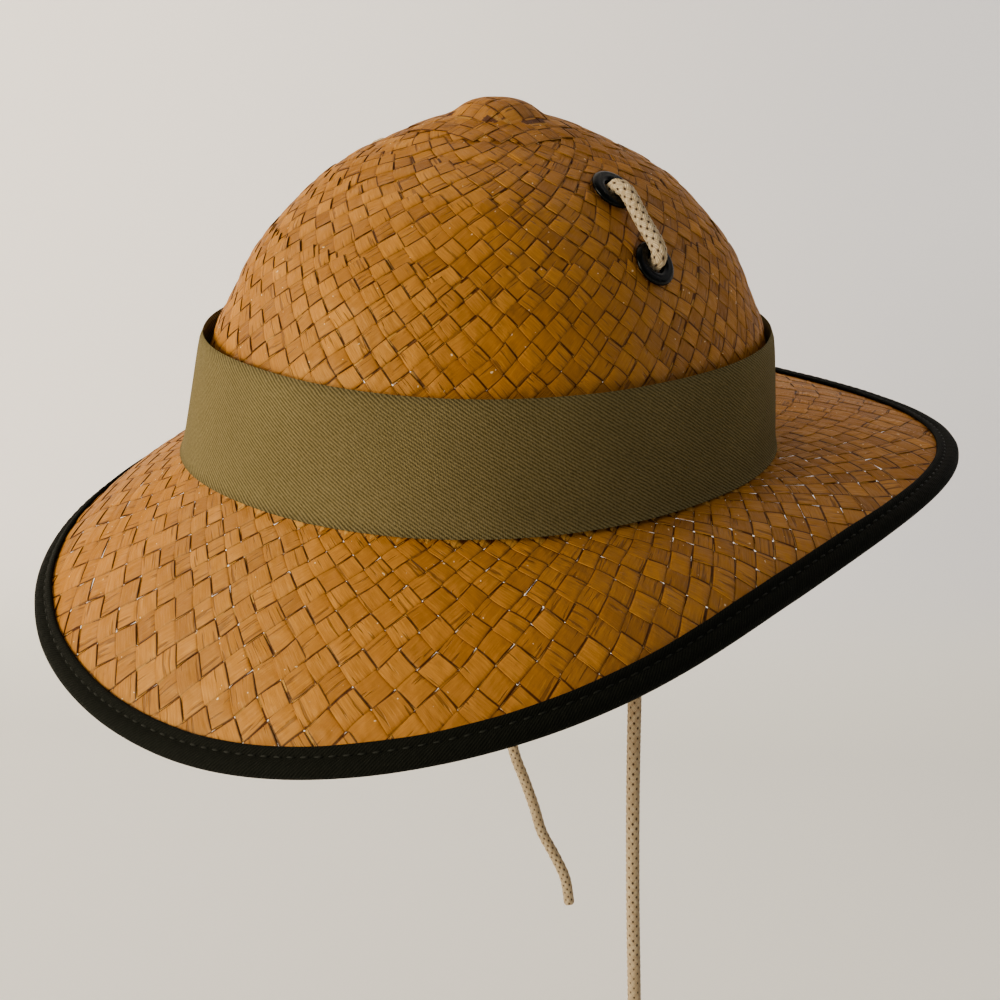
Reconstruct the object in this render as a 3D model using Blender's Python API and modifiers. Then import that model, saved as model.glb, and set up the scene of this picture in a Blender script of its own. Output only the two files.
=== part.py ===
"""Woven straw sun helmet: one woven shell, a hat band, an edge binding, four eyelets and a chin cord.

Metres, +Z up. The front of the brim points along -Y and the wearer's left side is +X. The origin is
the centre of the head opening, in the plane where the crown meets the brim.
"""
from math import copysign, cos, hypot, pi, radians, sin

import bmesh
import bpy
from mathutils import Matrix, Vector

# Crown: outer face of the straw wall, at its foot unless said otherwise
CROWN_HALF_WIDTH = 0.0870
CROWN_HALF_LENGTH = 0.1017
CROWN_HEIGHT = 0.1095
OVAL_SQUARENESS = 2.18
STRAW_WALL = 0.0018
KNOB_RADIUS = 0.0165
KNOB_HEIGHT = 0.0042
# A higher power makes the knob flatter on top and steeper at its side
KNOB_POWER = 4

# Brim: longest reach from the crown, deepest drop below the crown's foot
BRIM_REACH = 0.0815
BRIM_DROP = 0.0617
CREASE = 0.0025

# Hat band, folded edge tape and eyelets
BAND_HEIGHT = 0.0380
BAND_WALL = 0.0010
BAND_FOOT = 0.0012
BAND_GAP_FOOT = 0.0005
BAND_GAP_TOP = 0.0015
BINDING_WIDTH = 0.0075
BINDING_WALL = 0.0009
EYELET_RADIUS = 0.0074
EYELET_HOLE = 0.0031
EYELET_WALL = 0.0007
EYELET_RISE = 0.0010
EYELET_WASHER = 0.0052
EYELET_CUT_DEPTH = 0.0108
CORD_RADIUS = 0.0022

# Gap between pieces that touch on the real hat
GAP = 0.0003
# A turned or wrapped piece needs a little more where the wall curves under it
SEAT_GAP = 0.0007

# Steps round the head, and rows down each part of the shell
ROUND_STEPS = 64
CROWN_STEPS = 14
CREASE_STEPS = 2
BRIM_STEPS = 6
BAND_STEPS = 3
EYELET_STEPS = 20
EDGE_ANGLE = radians(40)
# Small step of share or direction, used to read which way a surface faces
SLOPE_STEP = 0.001
HALVINGS = 40

# height: share of CROWN_HEIGHT, width: share of the two half sizes,
# back: how far the section's middle lies behind the origin, as a share of CROWN_HALF_LENGTH
CROWN_ROWS = [
    (1.000, 0.000, 0.000),
    (0.982, 0.175, 0.008),
    (0.926, 0.348, 0.018),
    (0.835, 0.545, 0.026),
    (0.722, 0.689, 0.032),
    (0.590, 0.811, 0.034),
    (0.4575, 0.8845, 0.033),
    (0.358, 0.934, 0.030),
    (0.180, 0.972, 0.018),
    (0.000, 1.000, 0.004),
]

# Equal steps of direction, 0 at the front and 180 degrees at the back
# reach: share of BRIM_REACH, drop and bulge: shares of BRIM_DROP
BRIM_COLUMNS = ("reach", "drop", "bulge")
BRIM_ROWS = [
    (0.554, 1.000, 0.040),
    (0.596, 0.692, 0.050),
    (0.474, 0.318, 0.070),
    (0.785, 0.076, 0.045),
    (1.000, 0.152, 0.045),
]

# level, height: share of CROWN_HEIGHT, direction in degrees round from the front
EYELET_ROWS = [("upper", 0.8243, 88.1), ("lower", 0.6444, 88.1)]
# Rounded flange of an eyelet: share of the way from the hole out to the rim, share of EYELET_RISE
EYELET_FLANGE = [(0, 0.40), (0.25, 0.92), (0.50, 1.00), (0.875, 0.80)]

# Chin cord, x and z at y = 0, from the middle of the crown out through the left side's eyelets
CORD_HELD_HALF = [
    (0.0, 0.0765),
    (0.0140, 0.0769),
    (0.0270, 0.0783),
    (0.0380, 0.0811),
    (0.0442, 0.0846),
    (0.0470, 0.0879),
    (0.0489, 0.0903),
    (0.0503, 0.0916),
    (0.0528, 0.0914),
    (0.0555, 0.0897),
    (0.0609, 0.0832),
    (0.0665, 0.0772),
    (0.0681, 0.0744),
    (0.0681, 0.0720),
    (0.0667, 0.0706),
    (0.0645, 0.0690),
]

# Free ends of the cord, x, y and z, from just inside each lower eyelet to the bare end
CORD_TAIL_LEFT = [
    (0.0642, 0.0000, 0.0688),
    (0.0624, 0.0000, 0.0675),
    (0.0608, -0.0002, 0.0658),
    (0.0603, -0.0005, 0.0632),
    (0.0617, -0.0010, 0.0602),
    (0.0650, -0.0017, 0.0577),
    (0.0692, -0.0028, 0.0533),
    (0.0736, -0.0050, 0.0440),
    (0.0770, -0.0090, 0.0270),
    (0.0791, -0.0130, 0.0080),
    (0.0800, -0.0152, -0.0150),
    (0.0808, -0.0156, -0.0400),
    (0.0818, -0.0153, -0.0650),
    (0.0829, -0.0143, -0.0980),
    (0.0847, -0.0130, -0.1350),
    (0.0869, -0.0115, -0.1720),
    (0.0884, -0.0106, -0.2020),
]
CORD_TAIL_RIGHT = [
    (-0.0642, 0.0000, 0.0688),
    (-0.0624, 0.0000, 0.0675),
    (-0.0608, 0.0004, 0.0658),
    (-0.0603, 0.0014, 0.0632),
    (-0.0615, 0.0036, 0.0600),
    (-0.0645, 0.0072, 0.0565),
    (-0.0682, 0.0116, 0.0500),
    (-0.0722, 0.0190, 0.0385),
    (-0.0745, 0.0290, 0.0240),
    (-0.0730, 0.0410, 0.0060),
    (-0.0680, 0.0500, -0.0180),
    (-0.0600, 0.0560, -0.0520),
    (-0.0530, 0.0605, -0.0900),
    (-0.0475, 0.0655, -0.1300),
    (-0.0425, 0.0700, -0.1560),
    (-0.0395, 0.0735, -0.1682),
    (-0.0359, 0.0765, -0.1807),
    (-0.0334, 0.0790, -0.1918),
    (-0.0284, 0.0820, -0.2019),
    (-0.0246, 0.0850, -0.2120),
    (-0.0233, 0.0870, -0.2238),
]
# Points read off the smooth curve for each stretch between two points of a route
CORD_STEPS = 2


def clear_scene():
    for obj in list(bpy.data.objects):
        bpy.data.objects.remove(obj, do_unlink=True)
    for collection in list(bpy.data.collections):
        bpy.data.collections.remove(collection)


def new_collection(name):
    collection = bpy.data.collections.new(name)
    bpy.context.scene.collection.children.link(collection)
    return collection


def new_material(name, color, roughness):
    material = bpy.data.materials.new(name)
    material.use_nodes = True
    shader = material.node_tree.nodes["Principled BSDF"]
    shader.inputs["Base Color"].default_value = (*color, 1)
    shader.inputs["Roughness"].default_value = roughness
    shader.inputs["Metallic"].default_value = 0
    material.diffuse_color = (*color, 1)
    return material


def through(rows, share):
    """The point at a share of the way along a smooth curve that passes through every row."""
    place = min(max(share, 0), 1) * (len(rows) - 1)
    first = min(int(place), len(rows) - 2)
    t = place - first
    last = len(rows) - 1
    a, b, c, d = (Vector(rows[min(max(first + k, 0), last)]) for k in (-1, 0, 1, 2))
    return 0.5 * (2 * b + (c - a) * t + (2 * a - 5 * b + 4 * c - d) * t**2 + (3 * b - a - 3 * c + d) * t**3)


def brim_size(column, direction):
    """A column of BRIM_ROWS at any direction, on the cosine series through its equally spaced rows."""
    values = [row[BRIM_COLUMNS.index(column)] for row in BRIM_ROWS]
    last = len(values) - 1
    total = 0
    for wave in range(last + 1):
        part = 0
        for row, value in enumerate(values):
            weight = 0.5 if row in (0, last) else 1
            part += weight * value * cos(wave * row * pi / last)
        total += (0.5 if wave in (0, last) else 1) * part * cos(wave * direction)
    return total * 2 / last


def oval(direction):
    """Shares of the half width and half length at a direction round the head, 0 at the front."""
    power = 2 / OVAL_SQUARENESS
    across = sin(direction)
    ahead = -cos(direction)
    return copysign(abs(across) ** power, across), copysign(abs(ahead) ** power, ahead)


def oval_normal(direction):
    across, ahead = oval(direction)
    power = OVAL_SQUARENESS - 1
    x = copysign(abs(across) ** power, across) / CROWN_HALF_WIDTH
    y = copysign(abs(ahead) ** power, ahead) / CROWN_HALF_LENGTH
    return Vector((x, y, 0)).normalized()


def knob_rise(distance):
    """Height that the knot of strips on top adds at a distance from the axis."""
    if distance >= KNOB_RADIUS:
        return 0
    share = distance / KNOB_RADIUS
    return KNOB_HEIGHT * (1 - share**KNOB_POWER) ** 2


def crown_point(direction, share):
    """A point of the crown's outer face, from the top at share 0 to the foot at share 1."""
    height, width, back = through(CROWN_ROWS, share)
    across, ahead = oval(direction)
    x = across * width * CROWN_HALF_WIDTH
    y = ahead * width * CROWN_HALF_LENGTH
    rise = knob_rise(Vector((x, y)).length)
    return Vector((x, y + back * CROWN_HALF_LENGTH, height * CROWN_HEIGHT + rise))


def crown_share(height):
    """Share down the crown's face at which it is at a height, by halving."""
    low, high = 0.0, 1.0
    for _ in range(HALVINGS):
        middle = (low + high) / 2
        if through(CROWN_ROWS, middle)[0] * CROWN_HEIGHT > height:
            low = middle
        else:
            high = middle
    return (low + high) / 2


def brim_point(direction, share):
    """A point of the brim's upper face, from the crown's foot at share 0 to the edge at share 1."""
    reach = brim_size("reach", direction) * BRIM_REACH
    drop = brim_size("drop", direction) * BRIM_DROP
    bulge = brim_size("bulge", direction) * BRIM_DROP
    point = crown_point(direction, 1) + oval_normal(direction) * reach * share
    point.z = 4 * share * (1 - share) * bulge - drop * share
    return point


def brim_length(direction):
    """Length of the brim along its slope in one direction."""
    reach = brim_size("reach", direction) * BRIM_REACH
    drop = brim_size("drop", direction) * BRIM_DROP
    return hypot(reach, drop)


def brim_normal(direction, share):
    along = brim_point(direction, share) - brim_point(direction, share - SLOPE_STEP)
    after = brim_point(direction + SLOPE_STEP, share)
    round_head = after - brim_point(direction - SLOPE_STEP, share)
    return along.cross(round_head).normalized()


def shell_section(direction):
    """The shell's outer face in one direction, from below the top to the brim's edge."""
    start = crown_share(CREASE)
    points = [crown_point(direction, start * k / CROWN_STEPS) for k in range(1, CROWN_STEPS + 1)]
    corner = crown_point(direction, 1)
    outer = CREASE / brim_length(direction)
    end = brim_point(direction, outer)
    for k in range(1, CREASE_STEPS + 1):
        t = k / (CREASE_STEPS + 1)
        points.append(points[CROWN_STEPS - 1] * (1 - t) ** 2 + corner * 2 * t * (1 - t) + end * t**2)
    points += [brim_point(direction, outer + (1 - outer) * k / BRIM_STEPS) for k in range(BRIM_STEPS + 1)]
    return points


def loft(name, sections, pole=None):
    """A mesh through sections that run side by side round the head, closed to a ring."""
    mesh = bpy.data.meshes.new(name)
    grid = bmesh.new()
    rows = [[grid.verts.new(point) for point in section] for section in sections]
    for k, row in enumerate(rows):
        following = rows[(k + 1) % len(rows)]
        for j in range(len(row) - 1):
            grid.faces.new((row[j], row[j + 1], following[j + 1], following[j]))
    if pole is not None:
        top = grid.verts.new(pole)
        for k, row in enumerate(rows):
            grid.faces.new((top, row[0], rows[(k + 1) % len(rows)][0]))
    grid.to_mesh(mesh)
    grid.free()
    mesh.shade_smooth()
    mesh.set_sharp_from_angle(angle=EDGE_ANGLE)
    return mesh


def add_object(name, data, collection, material=None):
    obj = bpy.data.objects.new(name, data)
    collection.objects.link(obj)
    if material:
        data.materials.append(material)
    return obj


def thicken(obj, thickness):
    """Gives an open surface its wall, on the side that its faces point away from."""
    solidify = obj.modifiers.new("Wall", "SOLIDIFY")
    solidify.thickness = thickness
    solidify.offset = -1
    solidify.use_even_offset = True
    solidify.use_quality_normals = True


def directions():
    return [2 * pi * k / ROUND_STEPS for k in range(ROUND_STEPS)]


def eyelet_frames():
    """Name, place on the crown's outer face and outward axis of each eyelet."""
    frames = []
    for side, turn in (("left", 1), ("right", -1)):
        for level, height, degrees in EYELET_ROWS:
            share = crown_share(height * CROWN_HEIGHT)
            direction = turn * radians(degrees)
            place = crown_point(direction, share)
            down = crown_point(direction, share + SLOPE_STEP) - place
            across = crown_point(direction + SLOPE_STEP, share) - place
            frames.append((f"eyelet_{side}_{level}", place, down.cross(across).normalized()))
    return frames


def make_body(parts, cutters):
    top = Vector((0, 0, CROWN_HEIGHT + KNOB_HEIGHT))
    mesh = loft("woven_body", [shell_section(direction) for direction in directions()], top)
    straw = new_material("straw", (0.50, 0.26, 0.07), 0.38)
    body = add_object("woven_body", mesh, parts, straw)
    thicken(body, STRAW_WALL)
    barrel = EYELET_HOLE + EYELET_WALL
    for name, place, axis in eyelet_frames():
        bpy.ops.mesh.primitive_cylinder_add(
            vertices=EYELET_STEPS, radius=barrel + GAP, depth=EYELET_CUT_DEPTH
        )
        cutter = bpy.context.object
        cutter.name = "hole_" + name
        cutter.matrix_world = Matrix.Translation(place) @ axis.to_track_quat("Z", "Y").to_matrix().to_4x4()
        cutter.hide_render = True
        cutter.display_type = "WIRE"
        for home in list(cutter.users_collection):
            home.objects.unlink(cutter)
        cutters.objects.link(cutter)
        cut = body.modifiers.new("Hole", "BOOLEAN")
        cut.operation = "DIFFERENCE"
        cut.solver = "EXACT"
        cut.object = cutter


def make_band(parts):
    """The band's outer face follows the crown, a little further off it at the top."""
    sections = []
    for direction in directions():
        section = []
        for k in range(BAND_STEPS, -1, -1):
            rise = k / BAND_STEPS
            gap = BAND_GAP_FOOT + (BAND_GAP_TOP - BAND_GAP_FOOT) * rise
            point = crown_point(direction, crown_share(BAND_FOOT + BAND_HEIGHT * rise))
            section.append(point + oval_normal(direction) * (gap + BAND_WALL))
        sections.append(section)
    khaki = new_material("khaki", (0.24, 0.21, 0.13), 0.85)
    band = add_object("hat_band", loft("hat_band", sections), parts, khaki)
    thicken(band, BAND_WALL)


def make_binding(parts):
    """Tape folded round the brim's edge: its outer face, from the inner end on top to the one below."""
    half = STRAW_WALL / 2 + SEAT_GAP + BINDING_WALL
    sections = []
    for direction in directions():
        width = BINDING_WIDTH / brim_length(direction)
        upper = []
        lower = []
        for k in range(3):
            share = 1 - width * (1 - k / 2)
            normal = brim_normal(direction, share)
            middle = brim_point(direction, share) - normal * STRAW_WALL / 2
            upper.append(middle + normal * half)
            lower.append(middle - normal * half)
        outward = (upper[2] - upper[1]).normalized()
        normal = brim_normal(direction, 1)
        middle = (upper[2] + lower[2]) / 2
        turn = [middle + (normal * cos(a) + outward * sin(a)) * half for a in (pi / 4, pi / 2, 3 * pi / 4)]
        sections.append(upper + turn + lower[::-1])
    tape = new_material("tape", (0.025, 0.028, 0.022), 0.7)
    binding = add_object("brim_binding", loft("brim_binding", sections), parts, tape)
    thicken(binding, BINDING_WALL)


def eyelet_mesh():
    """Half section of a grommet: rounded flange outside, barrel through the wall, washer inside."""
    barrel = EYELET_HOLE + EYELET_WALL
    under = -STRAW_WALL - SEAT_GAP
    width = EYELET_RADIUS - EYELET_HOLE
    outline = [(EYELET_HOLE + width * out, EYELET_RISE * rise) for out, rise in EYELET_FLANGE]
    outline += [
        (EYELET_RADIUS, GAP),
        (barrel, GAP),
        (barrel, under),
        (EYELET_WASHER, under),
        (EYELET_WASHER, under - EYELET_WALL),
        (EYELET_HOLE, under - EYELET_WALL),
    ]
    mesh = bpy.data.meshes.new("eyelet")
    count = len(outline)
    edges = [(k, (k + 1) % count) for k in range(count)]
    mesh.from_pydata([(radius, 0, height) for radius, height in outline], edges, [])
    return mesh


def make_eyelets(parts):
    mesh = eyelet_mesh()
    mesh.materials.append(new_material("eyelet_black", (0.012, 0.014, 0.013), 0.25))
    for name, place, axis in eyelet_frames():
        eyelet = add_object(name, mesh, parts)
        eyelet.matrix_world = Matrix.Translation(place) @ axis.to_track_quat("Z", "Y").to_matrix().to_4x4()
        turn = eyelet.modifiers.new("Turn", "SCREW")
        turn.steps = EYELET_STEPS
        turn.render_steps = EYELET_STEPS
        turn.use_merge_vertices = True
        turn.merge_threshold = 0.00001


def make_cord(name, route, parts, material):
    curve = bpy.data.curves.new(name, "CURVE")
    curve.dimensions = "3D"
    curve.bevel_depth = CORD_RADIUS
    curve.bevel_resolution = 2
    curve.use_fill_caps = True
    count = CORD_STEPS * (len(route) - 1)
    points = [through(route, k / count) for k in range(count + 1)]
    spline = curve.splines.new("POLY")
    spline.points.add(len(points) - 1)
    for control, point in zip(spline.points, points):
        control.co = (*point, 1)
    add_object(name, curve, parts, material)


def make_cords(parts):
    cotton = new_material("cotton", (0.55, 0.45, 0.32), 0.9)
    left = [(x, 0, z) for x, z in CORD_HELD_HALF]
    right = [(-x, 0, z) for x, z in CORD_HELD_HALF[:0:-1]]
    make_cord("cord_crown", right + left, parts, cotton)
    make_cord("cord_tail_left", CORD_TAIL_LEFT, parts, cotton)
    make_cord("cord_tail_right", CORD_TAIL_RIGHT, parts, cotton)


def main():
    clear_scene()
    parts = new_collection("straw_helmet")
    cutters = new_collection("cutters")
    make_body(parts, cutters)
    make_band(parts)
    make_binding(parts)
    make_eyelets(parts)
    make_cords(parts)


main()
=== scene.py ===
# %% [markdown]
# # A woven straw sun helmet
#
# The real hat is flat straw strips woven into a dome and a brim, varnished, with a twill band round
# the crown, a tape folded over the brim's edge, and a cotton chin cord through four eyelets.
# The cells below load the plain solids of the CAD, then lay each real surface over them.

from math import copysign, cos, hypot, pi, radians, sin, sqrt

import bmesh
import bpy
import numpy as np
from mathutils import Matrix, Vector, noise


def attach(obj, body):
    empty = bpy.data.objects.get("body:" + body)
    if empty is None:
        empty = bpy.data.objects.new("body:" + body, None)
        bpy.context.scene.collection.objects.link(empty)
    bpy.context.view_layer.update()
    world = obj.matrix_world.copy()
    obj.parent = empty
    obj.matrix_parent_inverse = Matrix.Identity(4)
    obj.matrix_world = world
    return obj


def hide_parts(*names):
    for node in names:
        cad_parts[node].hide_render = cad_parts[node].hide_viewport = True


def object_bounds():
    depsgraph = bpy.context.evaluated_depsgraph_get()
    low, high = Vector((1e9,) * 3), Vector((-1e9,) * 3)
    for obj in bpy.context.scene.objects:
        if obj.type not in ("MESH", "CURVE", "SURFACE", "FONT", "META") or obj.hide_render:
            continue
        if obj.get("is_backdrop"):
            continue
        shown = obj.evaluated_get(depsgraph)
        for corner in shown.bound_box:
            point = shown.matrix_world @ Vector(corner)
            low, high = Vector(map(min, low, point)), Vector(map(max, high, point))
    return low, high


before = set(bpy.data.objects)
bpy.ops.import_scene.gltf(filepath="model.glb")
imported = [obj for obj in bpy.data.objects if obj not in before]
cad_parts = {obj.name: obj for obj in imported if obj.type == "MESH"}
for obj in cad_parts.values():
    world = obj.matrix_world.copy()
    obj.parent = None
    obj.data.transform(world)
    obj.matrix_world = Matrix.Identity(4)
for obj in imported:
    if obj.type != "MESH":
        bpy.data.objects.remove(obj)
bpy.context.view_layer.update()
print("solids loaded:", len(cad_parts))

# %% [markdown]
# ## Sizes
#
# The same named sizes as the solids have, in metres. The front of the brim points along -Y, the
# wearer's left is +X, and the origin is the middle of the opening where crown and brim meet.

# %% Sizes
CROWN_HALF_WIDTH = 0.0870
CROWN_HALF_LENGTH = 0.1017
CROWN_HEIGHT = 0.1095
OVAL_SQUARENESS = 2.18
STRAW_WALL = 0.0018
KNOB_RADIUS = 0.0165
KNOB_HEIGHT = 0.0042
KNOB_POWER = 4
BRIM_REACH = 0.0815
BRIM_DROP = 0.0617
CREASE = 0.0025
BAND_HEIGHT = 0.0380
BAND_FOOT = 0.0012
EYELET_RADIUS = 0.0074
EYELET_HOLE = 0.0031
CORD_RADIUS = 0.0022

# height: share of CROWN_HEIGHT, width: share of the half sizes, back: share of CROWN_HALF_LENGTH
CROWN_ROWS = [
    (1.000, 0.000, 0.000),
    (0.982, 0.175, 0.008),
    (0.926, 0.348, 0.018),
    (0.835, 0.545, 0.026),
    (0.722, 0.689, 0.032),
    (0.590, 0.811, 0.034),
    (0.4575, 0.8845, 0.033),
    (0.358, 0.934, 0.030),
    (0.180, 0.972, 0.018),
    (0.000, 1.000, 0.004),
]
# reach, drop and bulge of the brim in five directions, front to back
BRIM_COLUMNS = ("reach", "drop", "bulge")
BRIM_ROWS = [
    (0.554, 1.000, 0.040),
    (0.596, 0.692, 0.050),
    (0.474, 0.318, 0.070),
    (0.785, 0.076, 0.045),
    (1.000, 0.152, 0.045),
]
# side, height as a share of CROWN_HEIGHT, direction in degrees from the front
EYELETS = [(1, 0.8243, 88.1), (1, 0.6444, 88.1), (-1, 0.8243, 88.1), (-1, 0.6444, 88.1)]

CORD_HELD_HALF = [
    (0.0, 0.0765), (0.0140, 0.0769), (0.0270, 0.0783), (0.0380, 0.0811),
    (0.0442, 0.0846), (0.0470, 0.0879), (0.0489, 0.0903), (0.0503, 0.0916),
    (0.0528, 0.0914), (0.0555, 0.0897), (0.0609, 0.0832), (0.0665, 0.0772),
    (0.0681, 0.0744), (0.0681, 0.0720), (0.0667, 0.0706), (0.0645, 0.0690),
]
CORD_TAIL_LEFT = [
    (0.0642, 0.0000, 0.0688), (0.0624, 0.0000, 0.0675), (0.0608, -0.0002, 0.0658),
    (0.0603, -0.0005, 0.0632), (0.0617, -0.0010, 0.0602), (0.0650, -0.0017, 0.0577),
    (0.0692, -0.0028, 0.0533), (0.0736, -0.0050, 0.0440), (0.0770, -0.0090, 0.0270),
    (0.0791, -0.0130, 0.0080), (0.0800, -0.0152, -0.0150), (0.0808, -0.0156, -0.0400),
    (0.0818, -0.0153, -0.0650), (0.0829, -0.0143, -0.0980), (0.0847, -0.0130, -0.1350),
    (0.0869, -0.0115, -0.1720), (0.0884, -0.0106, -0.2020),
]
CORD_TAIL_RIGHT = [
    (-0.0642, 0.0000, 0.0688), (-0.0624, 0.0000, 0.0675), (-0.0608, 0.0004, 0.0658),
    (-0.0603, 0.0014, 0.0632), (-0.0615, 0.0036, 0.0600), (-0.0645, 0.0072, 0.0565),
    (-0.0682, 0.0116, 0.0500), (-0.0722, 0.0190, 0.0385), (-0.0745, 0.0290, 0.0240),
    (-0.0730, 0.0410, 0.0060), (-0.0680, 0.0500, -0.0180), (-0.0600, 0.0560, -0.0520),
    (-0.0530, 0.0605, -0.0900), (-0.0475, 0.0655, -0.1300), (-0.0425, 0.0700, -0.1560),
    (-0.0395, 0.0735, -0.1682), (-0.0359, 0.0765, -0.1807), (-0.0334, 0.0790, -0.1918),
    (-0.0284, 0.0820, -0.2019), (-0.0246, 0.0850, -0.2120), (-0.0233, 0.0870, -0.2238),
]
print("sizes set")

# %% [markdown]
# ## The hat's surface as functions
#
# Every piece follows the same two surfaces, crown and brim, so both are written as functions of a
# direction round the head and a share down the wall. They repeat the solids' own shape.


# %% Surface functions
def through(rows, share):
    """The point at a share of the way along a smooth curve that passes through every row."""
    place = min(max(share, 0), 1) * (len(rows) - 1)
    first = min(int(place), len(rows) - 2)
    t = place - first
    last = len(rows) - 1
    a, b, c, d = (Vector(rows[min(max(first + k, 0), last)]) for k in (-1, 0, 1, 2))
    cubic = 3 * b - a - 3 * c + d
    return 0.5 * (2 * b + (c - a) * t + (2 * a - 5 * b + 4 * c - d) * t**2 + cubic * t**3)


def brim_size(column, direction):
    """A column of BRIM_ROWS at any direction, on the cosine series through its five rows."""
    values = [row[BRIM_COLUMNS.index(column)] for row in BRIM_ROWS]
    last = len(values) - 1
    total = 0
    for wave in range(last + 1):
        part = 0
        for row, value in enumerate(values):
            weight = 0.5 if row in (0, last) else 1
            part += weight * value * cos(wave * row * pi / last)
        total += (0.5 if wave in (0, last) else 1) * part * cos(wave * direction)
    return total * 2 / last


def oval(direction):
    """Shares of the half width and half length at a direction round the head, 0 at the front."""
    power = 2 / OVAL_SQUARENESS
    across = sin(direction)
    ahead = -cos(direction)
    return copysign(abs(across) ** power, across), copysign(abs(ahead) ** power, ahead)


def oval_normal(direction):
    across, ahead = oval(direction)
    power = OVAL_SQUARENESS - 1
    x = copysign(abs(across) ** power, across) / CROWN_HALF_WIDTH
    y = copysign(abs(ahead) ** power, ahead) / CROWN_HALF_LENGTH
    return Vector((x, y, 0)).normalized()


def knob_rise(distance):
    if distance >= KNOB_RADIUS:
        return 0
    return KNOB_HEIGHT * (1 - (distance / KNOB_RADIUS) ** KNOB_POWER) ** 2


def crown_point(direction, share):
    """A point of the crown's outer face, from the top at share 0 to the foot at share 1."""
    height, width, back = through(CROWN_ROWS, share)
    across, ahead = oval(direction)
    x = across * width * CROWN_HALF_WIDTH
    y = ahead * width * CROWN_HALF_LENGTH
    rise = knob_rise(hypot(x, y))
    return Vector((x, y + back * CROWN_HALF_LENGTH, height * CROWN_HEIGHT + rise))


def crown_share(value, column=0):
    """Share down the crown where a column of CROWN_ROWS has a value, by halving."""
    low, high = 0.0, 1.0
    falls = column == 0
    for _ in range(36):
        middle = (low + high) / 2
        if (through(CROWN_ROWS, middle)[column] > value) == falls:
            low = middle
        else:
            high = middle
    return (low + high) / 2


def brim_point(direction, share):
    """A point of the brim's upper face, from the crown's foot at share 0 to the edge at share 1."""
    reach = brim_size("reach", direction) * BRIM_REACH
    drop = brim_size("drop", direction) * BRIM_DROP
    bulge = brim_size("bulge", direction) * BRIM_DROP
    point = crown_point(direction, 1) + oval_normal(direction) * reach * share
    point.z = 4 * share * (1 - share) * bulge - drop * share
    return point


def brim_length(direction):
    return hypot(
        brim_size("reach", direction) * BRIM_REACH, brim_size("drop", direction) * BRIM_DROP
    )


def brim_normal(direction, share):
    step = 0.001
    along = brim_point(direction, share) - brim_point(direction, share - step)
    after = brim_point(direction + step, share)
    return along.cross(after - brim_point(direction - step, share)).normalized()


def eyelet_place(side, height, degrees):
    """Middle of an eyelet on the crown's outer face, and its outward axis."""
    step = 0.001
    share = crown_share(height)
    direction = side * radians(degrees)
    place = crown_point(direction, share)
    down = crown_point(direction, share + step) - place
    across = crown_point(direction + step, share) - place
    return place, down.cross(across).normalized()


print("brim length front, side, back:", [round(brim_length(a), 4) for a in (0, pi / 2, pi)])

# %% [markdown]
# ## Camera
#
# The camera looks slightly down on the front left quarter of the hat. Its place, lens and small
# roll come from matching the hat's outline.

# %% Camera
AZIMUTH = radians(42.8)
ELEVATION = radians(17.1)
ROLL = radians(2.15)
CAMERA_DISTANCE = 0.6131

back = Vector((sin(AZIMUTH) * cos(ELEVATION), -cos(AZIMUTH) * cos(ELEVATION), sin(ELEVATION)))
level = Vector((cos(AZIMUTH), sin(AZIMUTH), 0))
upright = back.cross(level)
right = level * cos(ROLL) + upright * sin(ROLL)
up = upright * cos(ROLL) - level * sin(ROLL)

lens_data = bpy.data.cameras.new("photo_camera")
lens_data.sensor_width = 36
lens_data.lens = 65.81
lens_data.shift_x = 0.0152
lens_data.shift_y = -0.0622
lens_data.clip_start = 0.01
camera = bpy.data.objects.new("photo_camera", lens_data)
bpy.context.scene.collection.objects.link(camera)
camera.matrix_world = Matrix.Translation(back * CAMERA_DISTANCE) @ Matrix(
    (right, up, back)
).transposed().to_4x4()
bpy.context.scene.camera = camera
print("camera set")

# %% [markdown]
# ## Small tools
#
# Recipes for surfaces and repeats are node trees. Graph adds a node and wires its inputs in one
# call, so that each step of a recipe reads as one line.


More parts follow.
